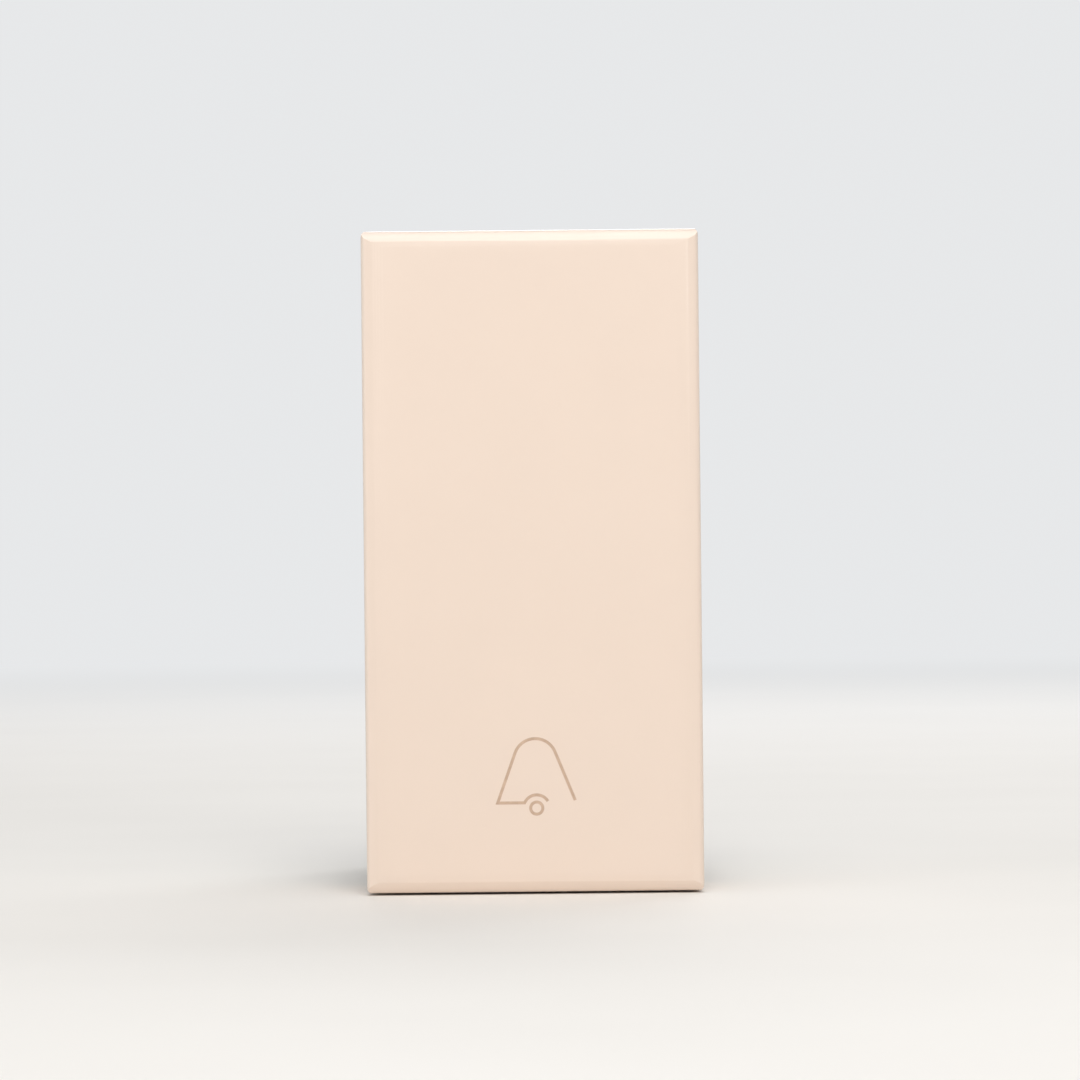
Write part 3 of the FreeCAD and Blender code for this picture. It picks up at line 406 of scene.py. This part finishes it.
def rocker_form():
    """Outer form of the rocker: what side, end and front views share."""
    half = end_profile()
    side = half + [(y, -z) for y, z in reversed(half)]
    half = long_edge_profile()
    end = [(-x, y) for x, y in reversed(half[1:])] + half
    plan = rounded_rectangle(HALF_X, HALF_Z, PLAN_CORNER, CORNER_STEPS)
    reach_x = HALF_X + CLEAR
    reach_z = HALF_Z + CLEAR
    form = extruded("rocker_shell", side, along_x, -reach_x, reach_x)
    end_view = extruded("end_view", end, along_z, -reach_z, reach_z)
    carve(form, end_view, "INTERSECT")
    plan_view = extruded("plan_view", plan, along_y, FACE_Y - CLEAR, SKIRT_Y + CLEAR)
    return carve(form, plan_view, "INTERSECT")


def box_mm(x0, x1, y0, y1, z0, z1):
    """Box between two corners, in millimetres."""
    return extruded("box", [(x0, z0), (x1, z0), (x1, z1), (x0, z1)], along_y, y0, y1)


def pin(side):
    """Trunnion pin with a chamfered tip, a little rooted in the skirt."""
    root_x = HALF_X - SKIRT_WALL + ROOT
    rings = [(PIN_TIP_X, PIN_R - PIN_CHAMFER), (PIN_TIP_X + PIN_CHAMFER, PIN_R), (root_x, PIN_R)]
    points = []
    for x, radius in rings:
        points += [(side * x, y, z) for y, z in circle((PIVOT_Y, 0), radius, PIN_COLUMNS)]
    last = (len(rings) - 1) * PIN_COLUMNS
    faces = [tuple(range(PIN_COLUMNS)), tuple(range(last, last + PIN_COLUMNS))]
    faces += ring_faces(len(rings) - 1, PIN_COLUMNS)
    return mesh_from("pin", points, faces)


def cross_rib(z, rear, halves, half_x):
    """Rib on the inner face that narrows from its root to its rear edge."""
    root_y = INNER_Y - ROOT
    root_half, tip_half = halves
    outline = [(root_y, z - root_half), (rear, z - tip_half)]
    outline += [(rear, z + tip_half), (root_y, z + root_half)]
    return extruded("rib", outline, along_x, -half_x, half_x)


def make_rocker():
    """Finely rounded rocker with the part's ears, pins, ribs, finger and stops."""
    wall_x = HALF_X - SKIRT_WALL
    wall_z = HALF_Z - SKIRT_WALL
    form = rocker_form()
    hollow = rounded_rectangle(wall_x, wall_z, RIM, INNER_CORNER_STEPS)
    carve(form, extruded("hollow", hollow, along_y, INNER_Y, SKIRT_Y + CLEAR), "DIFFERENCE")
    adds = []
    skirt_y = SKIRT_Y - EAR_ROOT
    flare = EAR_R + EAR_FLARE
    ear = [(skirt_y, -flare), (PIVOT_Y, -EAR_R)]
    ear += arc((PIVOT_Y, 0), EAR_R, (EAR_START, -1), (EAR_START, 1), EAR_STEPS)
    ear += [(PIVOT_Y, EAR_R), (skirt_y, flare)]
    root_y = INNER_Y - ROOT
    rib_y = INNER_Y + RIB_HEIGHT
    cross_y = INNER_Y + CROSS_HEIGHT
    reach = wall_x + ROOT
    for side in (-1, 1):
        low, high = sorted((side * wall_x, side * HALF_X))
        adds += [extruded("ear", ear, along_x, low, high), pin(side)]
        x = side * RIB_X
        adds.append(box_mm(x - RIB_HALF, x + RIB_HALF, root_y, rib_y, -RIB_LENGTH, RIB_LENGTH))
        z = side * CROSS_Z
        adds.append(box_mm(-reach, reach, root_y, cross_y, z - RIB_HALF, z + RIB_HALF))
    adds.append(cross_rib(PRESS_Z, FINGER_REAR, FINGER_HALF, FINGER_HALF_X))
    for z, rear in (REST_STOP, PRESS_STOP):
        adds.append(cross_rib(z, rear, STOP_HALF, RIB_X))
    for shape in adds:
        carve(form, shape, "UNION")
    return softened(form, ROCKER_SHARP)


# Printed bell

def crown_y(x):
    """Depth of the face at x, with the crown's shallow arc taken as a parabola."""
    return FACE_Y + CROWN * (x / (HALF_X - SIDE_WIDTH)) ** 2


def ribbon(path, closed):
    """Points and faces of a printed line of even width along a path in (x, z)."""
    count = len(path)
    rails = []
    for i, (x, z) in enumerate(path):
        before = path[i - 1] if closed or i > 0 else path[i]
        after = path[(i + 1) % count] if closed or i < count - 1 else path[i]
        first = Vector((x - before[0], z - before[1]))
        second = Vector((after[0] - x, after[1] - z))
        first = first.normalized() if first.length else second.normalized()
        second = second.normalized() if second.length else first
        run = (first + second).normalized()
        width = STROKE / 2 / max(run.dot(first), SHARPEST_MITRE)
        out = Vector((-run.y, run.x)) * width
        rails.append([(x + s * out.x, z + s * out.y) for s in (-1, 1)])
    points = []
    for pair in rails:
        for x, z in pair:
            front = crown_y(x) - PRINT_PROUD
            points += [(x, front, z), (x, front + PRINT_DEPTH, z)]
    corners = 4
    faces = []
    for i in range(count if closed else count - 1):
        a, b = corners * i, corners * ((i + 1) % count)
        for k, m in ((0, 2), (2, 3), (3, 1), (1, 0)):
            faces.append((a + k, a + m, b + m, b + k))
    if not closed:
        end = corners * (count - 1)
        faces += [(0, 1, 3, 2), (end, end + 2, end + 3, end + 1)]
    return points, faces


def touching(point, side):
    """Direction from the dome's middle to where the leg from a point meets the dome smoothly."""
    away = Vector(point) - Vector(BELL_DOME)
    return Matrix.Rotation(side * math.acos(BELL_DOME_R / away.length), 2) @ away.normalized()


def bell_paths():
    """The bell in one stroke from the arch over the clapper to the open right leg, and the clapper."""
    line_rise = BELL_FOOT[1] - CLAPPER[1]
    arch_start = (math.cos(ARCH_END_ANGLE), math.sin(ARCH_END_ANGLE))
    arch_stop = (-math.sqrt(ARCH_R ** 2 - line_rise ** 2), line_rise)
    arch = arc(CLAPPER, ARCH_R, arch_start, arch_stop, ARCH_STEPS)
    dome_start = touching(BELL_FOOT, -1)
    dome_stop = touching(BELL_FREE_END, 1)
    dome = arc(BELL_DOME, BELL_DOME_R, dome_start, dome_stop, DOME_STEPS)
    stroke = arch + [BELL_FOOT] + dome + [BELL_FREE_END]
    return [(stroke, False), (circle(CLAPPER, CLAPPER_R, CLAPPER_STEPS), True)]


def make_bell():
    """Both printed lines as one mesh on the face."""
    points, faces = [], []
    for path, closed in bell_paths():
        more, sides = ribbon(path, closed)
        faces += [tuple(len(points) + i for i in side) for side in sides]
        points += more
    return mesh_from("bell_print", points, faces)


# Springs and screws

def make_spring(name, span, mean_r, wire_r, turns):
    """Coil behind the button along Y, its end turns closed."""
    total = turns + 2 * CLOSED_TURNS
    steps = int(total * SPRING_STEPS)
    low, high = span[0] + wire_r, span[1] - wire_r
    closed_rise = 2 * wire_r * CLOSED_TURNS
    points = []
    for step in range(steps + 1):
        turn = total * step / steps
        if turn < CLOSED_TURNS:
            y = low + closed_rise * turn / CLOSED_TURNS
        elif turn > total - CLOSED_TURNS:
            y = high - closed_rise * (total - turn) / CLOSED_TURNS
        else:
            share = (turn - CLOSED_TURNS) / turns
            y = low + closed_rise + (high - low - 2 * closed_rise) * share
        angle = 2 * math.pi * turn
        for side in range(SPRING_SIDES):
            around = 2 * math.pi * side / SPRING_SIDES
            radius = mean_r + wire_r * math.cos(around)
            height = y + wire_r * math.sin(around)
            points.append((radius * math.cos(angle), height, PRESS_Z + radius * math.sin(angle)))
    faces = ring_faces(steps, SPRING_SIDES)
    last = steps * SPRING_SIDES
    faces += [tuple(range(SPRING_SIDES)), tuple(range(last, last + SPRING_SIDES))]
    spring = mesh_from(name, points, faces)
    spring.data.shade_smooth()
    return spring


def ring_faces(rows, columns):
    """Faces between neighbouring rings of points."""
    faces = []
    for row in range(rows):
        for column in range(columns):
            a = row * columns + column
            b = row * columns + (column + 1) % columns
            faces.append((a, b, b + columns, a + columns))
    return faces


def turned(name, x, z, rings, columns):
    """Closed turned form along Y from (y, radius) rings; radius may be a function of the angle."""
    points = []
    for y, radius in rings:
        for column in range(columns):
            angle = 2 * math.pi * column / columns
            r = radius(angle) if callable(radius) else radius
            points.append((x + r * math.sin(angle), y, z + r * math.cos(angle)))
    faces = ring_faces(len(rings) - 1, columns)
    last = (len(rings) - 1) * columns
    faces += [tuple(range(columns)), tuple(range(last, last + columns))]
    return mesh_from(name, points, faces)


def thread_radius(y):
    """Radius round the shank at height y: a right-hand ridge that runs out at the tip."""
    run_in = min(1.0, (y - SHANK_TIP) / THREAD_PITCH + THREAD_START)

    def radius(angle):
        phase = (y / THREAD_PITCH - angle / (2 * math.pi)) % 1.0
        depth = min(1.0, abs(2 * phase - 1) * THREAD_FLANK)
        crest = SHANK_R - (1 - run_in) * THREAD_DEPTH
        return crest - THREAD_DEPTH * depth * run_in
    return radius


def make_screw(name):
    """Load terminal screw with a real thread, and a combined slot and cross in its head."""
    x, z = TERMINAL
    front, rear = HEAD_SPAN
    rings = [(front, HEAD_R), (rear - HEAD_CHAMFER, HEAD_R), (rear, HEAD_R - HEAD_CHAMFER)]
    screw = turned(name, x, z, rings, HEAD_COLUMNS)
    steps = int((front - SHANK_TIP) / THREAD_PITCH * THREAD_ROWS)
    rows = [SHANK_TIP + (front - SHANK_TIP) * step / steps for step in range(steps + 1)]
    rings = [(y, thread_radius(y)) for y in rows]
    rings.append((front + SHANK_ROOT, SHANK_R - THREAD_DEPTH))
    shank = turned("shank", x, z, rings, THREAD_COLUMNS)
    carve(screw, shank, "UNION")
    floor = rear - DRIVE_DEPTH
    for half_x, half_z in (SLOT_HALF, CROSS_HALF):
        cut = box_mm(x - half_x, x + half_x, floor, rear + CLEAR, z - half_z, z + half_z)
        carve(screw, cut, "DIFFERENCE")
    return softened(screw, SCREW_SHARP)


# Raised marks

def make_cover_marks():
    """Wire strip gauge, arrows where the wires go in, and the round trace of the mould's gate."""
    low, high = COVER_BACK - MARK_ROOT, COVER_BACK + MARK_PROUD
    frame = moved(rounded_rectangle(*GAUGE_HALF, GAUGE_CORNER, GAUGE_STEPS), GAUGE_Z)
    inside = [half - MARK_LINE for half in GAUGE_HALF]
    corner = GAUGE_CORNER - MARK_LINE
    opening = moved(rounded_rectangle(*inside, corner, GAUGE_STEPS), GAUGE_Z)
    marks = extruded("cover_marks", frame, along_y, low, high)
    carve(marks, extruded("opening", opening, along_y, low - CLEAR, high + CLEAR), "DIFFERENCE")
    for start, stop, half in (INSULATION, BARE_WIRE):
        wire = box_mm(start, stop, low, high, GAUGE_Z - half, GAUGE_Z + half)
        carve(marks, wire, "UNION")
    x = TERMINAL[0]
    tip, base = ARROW_Z
    for side in (-1, 1):
        arrow = [(-side * x, side * tip), (-side * (x + ARROW_HALF), side * base)]
        arrow.append((-side * (x - ARROW_HALF), side * base))
        carve(marks, extruded("arrow", arrow, along_y, low, high), "UNION")
    gate = (0, GATE_Z)
    ring = extruded("ring", circle(gate, GATE_R, GATE_STEPS), along_y, low, high)
    bore = circle(gate, GATE_R - MARK_LINE, GATE_STEPS)
    carve(ring, extruded("bore", bore, along_y, low - CLEAR, high + CLEAR), "DIFFERENCE")
    carve(marks, ring, "UNION")
    pip = circle(gate, GATE_PIP_R, PIP_STEPS)
    carve(marks, extruded("pip", pip, along_y, low, high), "UNION")
    return marks


def moved(outline, rise):
    """Outline raised along its second axis."""
    return [(a, b + rise) for a, b in outline]


# Materials

class Nodes:
    """Small helper round a material's node tree."""

    def __init__(self, name):
        self.material = bpy.data.materials.new(name)
        self.material.use_nodes = True
        self.tree = self.material.node_tree
        self.tree.nodes.clear()
        self.output = self.add("ShaderNodeOutputMaterial")
        self.coordinates = self.add("ShaderNodeTexCoord").outputs["Object"]

    def add(self, kind, **values):
        node = self.tree.nodes.new(kind)
        for key, value in values.items():
            setattr(node, key, value)
        return node

    def link(self, source, target):
        self.tree.links.new(source, target)

    def noise(self, scale, detail, stretch=EVEN):
        """Noise of a feature size of 1 / scale metres, stretched along the axes."""
        mapping = self.add("ShaderNodeMapping")
        mapping.inputs["Scale"].default_value = stretch
        self.link(self.coordinates, mapping.inputs["Vector"])
        noise = self.add("ShaderNodeTexNoise")
        noise.inputs["Scale"].default_value = scale
        noise.inputs["Detail"].default_value = detail
        self.link(mapping.outputs["Vector"], noise.inputs["Vector"])
        return noise.outputs["Fac"]

    def ramp(self, source, first, second, low=NOISE_LOW, high=NOISE_HIGH):
        """Colour from first to second as the source goes from low to high."""
        ramp = self.add("ShaderNodeValToRGB")
        ramp.color_ramp.elements[0].position = low
        ramp.color_ramp.elements[1].position = high
        ramp.color_ramp.elements[0].color = (*first, 1)
        ramp.color_ramp.elements[1].color = (*second, 1)
        self.link(source, ramp.inputs["Fac"])
        return ramp.outputs["Color"]

    def span(self, source, low, high):
        """Noise spread over low to high."""
        spread = self.add("ShaderNodeMapRange")
        spread.inputs["From Min"].default_value = NOISE_LOW
        spread.inputs["From Max"].default_value = NOISE_HIGH
        spread.inputs["To Min"].default_value = low
        spread.inputs["To Max"].default_value = high
        self.link(source, spread.inputs["Value"])
        return spread.outputs["Result"]

    def bump(self, source, strength, distance):
        """Normal that follows the source's height."""
        bump = self.add("ShaderNodeBump")
        bump.inputs["Strength"].default_value = strength
        bump.inputs["Distance"].default_value = distance
        self.link(source, bump.inputs["Height"])
        return bump.outputs["Normal"]


def tinted(colour, factor):
    """Colour made lighter or darker."""
    return tuple(channel * factor for channel in colour)


def plastic(name, colour, gloss, spread, grain, depth, coat=0.0):
    """Moulded plastic: faint clouding, uneven gloss and a fine moulded grain."""
    nodes = Nodes(name)
    shader = nodes.add("ShaderNodeBsdfPrincipled")
    shader.inputs["Coat Weight"].default_value = coat
    shader.inputs["Coat Roughness"].default_value = COAT_ROUGHNESS
    shader.inputs["IOR"].default_value = PLASTIC_IOR
    cloud = nodes.noise(scale=140, detail=3)
    shade = nodes.ramp(cloud, tinted(colour, 1 - spread), tinted(colour, 1 + spread))
    nodes.link(shade, shader.inputs["Base Color"])
    uneven = nodes.noise(scale=420, detail=2)
    roughness = nodes.span(uneven, gloss - GLOSS_SPREAD, gloss + GLOSS_SPREAD)
    nodes.link(roughness, shader.inputs["Roughness"])
    moulded = nodes.noise(scale=grain, detail=4)
    nodes.link(nodes.bump(moulded, PLASTIC_BUMP, depth), shader.inputs["Normal"])
    nodes.link(shader.outputs["BSDF"], nodes.output.inputs["Surface"])
    return nodes.material


def metal(name, light, dark, gloss, stretch, depth):
    """Rolled, drawn or plated metal: streaks along the working direction and a spotty tarnish."""
    nodes = Nodes(name)
    shader = nodes.add("ShaderNodeBsdfPrincipled")
    shader.inputs["Metallic"].default_value = 1.0
    spots = nodes.noise(scale=500, detail=6)
    shade = nodes.ramp(spots, dark, light, *SPOT_RANGE)
    nodes.link(shade, shader.inputs["Base Color"])
    streaks = nodes.noise(scale=2600, detail=3, stretch=stretch)
    below, above = STREAK_SPREAD
    nodes.link(nodes.span(streaks, gloss - below, gloss + above), shader.inputs["Roughness"])
    nodes.link(nodes.bump(streaks, METAL_BUMP, depth), shader.inputs["Normal"])
    nodes.link(shader.outputs["BSDF"], nodes.output.inputs["Surface"])
    return nodes.material


def plastic_finishes():
    """Materials of the moulded pieces, by the record's finish."""
    return {
        "cream_face": plastic(
            "cream_face_look", (0.88, 0.72, 0.605),
            gloss=0.36, spread=0.006, grain=900, depth=0.000006, coat=0.8),
        "frame_plastic": plastic(
            "frame_look", (0.84, 0.71, 0.59),
            gloss=0.45, spread=0.012, grain=2600, depth=0.000012),
        "housing_plastic": plastic(
            "housing_look", (0.50, 0.50, 0.485),
            gloss=0.62, spread=0.03, grain=5200, depth=0.00003),
        "carrier_plastic": plastic(
            "carrier_look", (0.47, 0.455, 0.42),
            gloss=0.6, spread=0.03, grain=5200, depth=0.00003),
        "cover_plastic": plastic(
            "cover_look", (0.36, 0.37, 0.38),
            gloss=0.6, spread=0.03, grain=5200, depth=0.00003),
        "plunger_plastic": plastic(
            "plunger_look", (0.83, 0.82, 0.78),
            gloss=0.42, spread=0.01, grain=2000, depth=0.000006),
    }


def metal_finishes():
    """Materials of the metal pieces, by the record's finish."""
    return {
        "spring_steel": metal(
            "spring_look", light=(0.66, 0.66, 0.67), dark=(0.50, 0.50, 0.51),
            gloss=0.24, stretch=(1, DRAWN, 1), depth=0.000004),
        "copper_alloy": metal(
            "copper_look", light=(0.86, 0.56, 0.38), dark=(0.70, 0.42, 0.27),
            gloss=0.3, stretch=(ROLLED, 1, 1), depth=0.000004),
        "contact_silver": metal(
            "silver_look", light=(0.88, 0.87, 0.84), dark=(0.76, 0.75, 0.71),
            gloss=0.32, stretch=EVEN, depth=0.000006),
        "strip_brass": metal(
            "brass_look", light=(0.85, 0.68, 0.36), dark=(0.70, 0.53, 0.25),
            gloss=0.3, stretch=(1, 1, ROLLED), depth=0.000004),
        "zinc_steel": metal(
            "zinc_look", light=(0.70, 0.72, 0.75), dark=(0.55, 0.57, 0.60),
            gloss=0.36, stretch=EVEN, depth=0.000006),
        "screw_steel": metal(
            "screw_look", light=(0.76, 0.77, 0.79), dark=(0.60, 0.61, 0.63),
            gloss=0.3, stretch=EVEN, depth=0.000006),
    }


def print_look():
    """Thin tan print, a little uneven along its strokes."""
    nodes = Nodes("print_look")
    shader = nodes.add("ShaderNodeBsdfPrincipled")
    tone = nodes.noise(scale=1800, detail=3)
    nodes.link(nodes.ramp(tone, PRINT_DARK, PRINT_PALE), shader.inputs["Base Color"])
    uneven = nodes.noise(scale=5200, detail=2)
    nodes.link(nodes.span(uneven, *PRINT_ROUGHNESS), shader.inputs["Roughness"])
    nodes.link(shader.outputs["BSDF"], nodes.output.inputs["Surface"])
    return nodes.material


def floor_look():
    """Pale floor that takes the object's shadow and runs out into the backdrop with distance."""
    nodes = Nodes("floor_look")
    shader = nodes.add("ShaderNodeBsdfPrincipled")
    shader.inputs["Roughness"].default_value = FLOOR_ROUGHNESS
    cloud = nodes.noise(scale=30, detail=2)
    nodes.link(nodes.ramp(cloud, FLOOR_DARK, FLOOR_PALE), shader.inputs["Base Color"])
    glow = nodes.add("ShaderNodeEmission")
    glow.inputs["Color"].default_value = BACKDROP
    distance = nodes.add("ShaderNodeVectorMath", operation="LENGTH")
    nodes.link(nodes.coordinates, distance.inputs[0])
    fade = nodes.add("ShaderNodeMapRange", interpolation_type="SMOOTHSTEP")
    fade.inputs["From Min"].default_value = FLOOR_FADE[0]
    fade.inputs["From Max"].default_value = FLOOR_FADE[1]
    nodes.link(distance.outputs["Value"], fade.inputs["Value"])
    both = nodes.add("ShaderNodeMath", operation="MULTIPLY")
    nodes.link(fade.outputs["Result"], both.inputs[0])
    nodes.link(seen_rays(nodes.tree), both.inputs[1])
    mix = nodes.add("ShaderNodeMixShader")
    nodes.link(both.outputs["Value"], mix.inputs["Fac"])
    nodes.link(shader.outputs["BSDF"], mix.inputs[1])
    nodes.link(glow.outputs["Emission"], mix.inputs[2])
    nodes.link(mix.outputs["Shader"], nodes.output.inputs["Surface"])
    return nodes.material


def seen_rays(tree):
    """1 for rays that come from the camera, a reflection or through glass."""
    path = tree.nodes.new("ShaderNodeLightPath")
    seen = path.outputs["Is Camera Ray"]
    for kind in ("Is Glossy Ray", "Is Transmission Ray"):
        either = tree.nodes.new("ShaderNodeMath")
        either.operation = "MAXIMUM"
        tree.links.new(seen, either.inputs[0])
        tree.links.new(path.outputs[kind], either.inputs[1])
        seen = either.outputs["Value"]
    return seen


# Stage

def make_floor(lowest):
    """Round floor just under the object's lowest point."""
    outline = circle((0, 0), FLOOR_R / MM, FLOOR_SIDES)
    points = [(x, y, lowest / MM) for x, y in outline]
    floor = mesh_from("floor", points, [tuple(range(FLOOR_SIDES))])
    floor.location.z = -FLOOR_GAP
    floor.data.materials.append(floor_look())


def make_world():
    """Even soft light, with a plain backdrop for the rays that see it."""
    world = bpy.data.worlds.new("studio")
    bpy.context.scene.world = world
    world.use_nodes = True
    tree = world.node_tree
    tree.nodes.clear()
    light = tree.nodes.new("ShaderNodeBackground")
    light.inputs["Color"].default_value = SKY
    light.inputs["Strength"].default_value = SKY_STRENGTH
    backdrop = tree.nodes.new("ShaderNodeBackground")
    backdrop.inputs["Color"].default_value = BACKDROP
    mix = tree.nodes.new("ShaderNodeMixShader")
    output = tree.nodes.new("ShaderNodeOutputWorld")
    links = tree.links
    links.new(seen_rays(tree), mix.inputs["Fac"])
    links.new(light.outputs["Background"], mix.inputs[1])
    links.new(backdrop.outputs["Background"], mix.inputs[2])
    links.new(mix.outputs["Shader"], output.inputs["Surface"])


def area_light(name, place, size, power, colour, target=(0, 0, 0)):
    """Rectangular lamp that faces its target and isn't seen itself."""
    lamp = bpy.data.lights.new(name, "AREA")
    lamp.shape = "RECTANGLE"
    lamp.size, lamp.size_y = size
    lamp.energy = power
    lamp.color = colour
    made = bpy.data.objects.new(name, lamp)
    bpy.context.scene.collection.objects.link(made)
    made.visible_camera = False
    made.location = place
    made.rotation_mode = "QUATERNION"
    made.rotation_quaternion = (Vector(target) - Vector(place)).to_track_quat("-Z", "Y")


def make_lights():
    """Soft key from above, a broad front panel, a cool fill, a back light and a light overhead."""
    area_light("key", (0.03, -0.34, 0.34), size=(0.14, 0.46), power=0.70, colour=WARM)
    area_light("front", (0.06, -0.46, 0.22), size=(0.42, 0.24), power=0.52, colour=WARM)
    area_light("fill", (-0.42, -0.26, 0.06), size=(0.30, 0.30), power=0.32, colour=COOL)
    area_light("back", (0.10, 0.45, 0.30), size=(0.40, 0.30), power=1.0, colour=WHITE)
    area_light(
        "top", (0.0, -0.10, 0.42), size=(0.24, 0.20), power=0.25, colour=WHITE,
        target=(0, -0.02, 0))


def make_camera():
    """Straight-on camera at the photograph's scale, place and roll."""
    half_frame = FRAME_PX / PX_PER_MM / 2 * MM
    distance = half_frame * LENS / (SENSOR / 2)
    camera = bpy.data.cameras.new("camera")
    camera.lens = LENS
    camera.sensor_width = SENSOR
    camera.clip_start, camera.clip_end = CLIP
    made = bpy.data.objects.new("camera", camera)
    bpy.context.scene.collection.objects.link(made)
    turn = Matrix.Rotation(math.radians(90), 4, "X") @ Matrix.Rotation(-ROLL, 4, "Z")
    right = turn @ Vector((1, 0, 0))
    up = turn @ Vector((0, 1, 0))
    off_x = (FACE_CENTRE_PX[0] - FRAME_PX / 2) / PX_PER_MM * MM
    off_z = (FRAME_PX / 2 - FACE_CENTRE_PX[1]) / PX_PER_MM * MM
    place = Vector((0, FACE_Y * MM - distance, 0)) - right * off_x - up * off_z
    made.matrix_world = Matrix.Translation(place) @ turn
    bpy.context.scene.camera = made


# Assembly

def dress(node, look, width):
    """Material of a piece, and its sharp edges just broken."""
    node.data.materials.clear()
    node.data.materials.append(look)
    weld = node.modifiers.new("weld", "WELD")
    weld.merge_threshold = SAME_POINT * MM
    flat = node.modifiers.new("flat_faces", "DECIMATE")
    flat.decimate_type = "DISSOLVE"
    flat.angle_limit = FLAT_ANGLE
    broken = node.modifiers.new("broken_edges", "BEVEL")
    broken.loop_slide = False
    broken.use_clamp_overlap = False
    broken.width = width * MM
    broken.segments = EDGE_SEGMENTS
    broken.limit_method = "ANGLE"
    broken.angle_limit = EDGE_ANGLE
    weighted_normals(node)


def half_turned(source, name):
    """Copy turned half round about Y, as the line terminal is to the load terminal."""
    mesh = source.data.copy()
    mesh.transform(Matrix.Rotation(math.pi, 4, "Y"))
    copy = new_object(name, mesh)
    weighted_normals(copy)
    return copy


def dress_packed(nodes, looks):
    """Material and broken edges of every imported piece, by its slot."""
    slots = {name: node.data.materials[0].name for name, node in nodes.items()}
    for name, node in nodes.items():
        dress(node, looks[slots[name]], EDGE_WIDTHS.get(name, EDGE_WIDTH))


def add_finer_pieces(looks):
    """Pieces that stand in for packed ones with finer forms, and the printed bell."""
    rocker = make_rocker()
    bell = make_bell()
    return_coil = make_spring(
        "return_coil", RETURN_SPAN, RETURN_MEAN_R, RETURN_WIRE_R, RETURN_TURNS)
    contact_coil = make_spring(
        "contact_coil", CONTACT_SPAN, CONTACT_MEAN_R, CONTACT_WIRE_R, CONTACT_TURNS)
    load_screw = make_screw("load_screw_threaded")
    line_screw = half_turned(load_screw, "line_screw_threaded")
    pieces = [
        (rocker, "rocker", "rocker", "cream_face"),
        (return_coil, "module", "return_spring", "spring_steel"),
        (contact_coil, "plunger", "contact_spring", "spring_steel"),
        (load_screw, "load_screw", "load_screw", "screw_steel"),
        (line_screw, "line_screw", "line_screw", "screw_steel"),
    ]
    for piece, body, node, slot in pieces:
        piece.data.materials.clear()
        piece.data.materials.append(looks[slot])
        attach(piece, body)
        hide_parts(node)
    bell.data.materials.append(print_look())
    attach(bell, "rocker")
    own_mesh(return_coil)


def add_marks(looks):
    """Raised marks on the rear cover, in its plastic."""
    marks = make_cover_marks()
    dress(marks, looks["cover_plastic"], MARK_EDGE)
    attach(marks, "module")


def main():
    """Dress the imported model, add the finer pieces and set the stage."""
    for left_over in list(bpy.data.objects):
        bpy.data.objects.remove(left_over)
    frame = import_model()
    bpy.context.scene.view_settings.view_transform = "Standard"

    looks = plastic_finishes() | metal_finishes()
    dress_packed(frame["nodes"], looks)
    add_finer_pieces(looks)
    add_marks(looks)

    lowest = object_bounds()[0].z
    make_floor(lowest)
    make_world()
    make_lights()
    make_camera()


main()
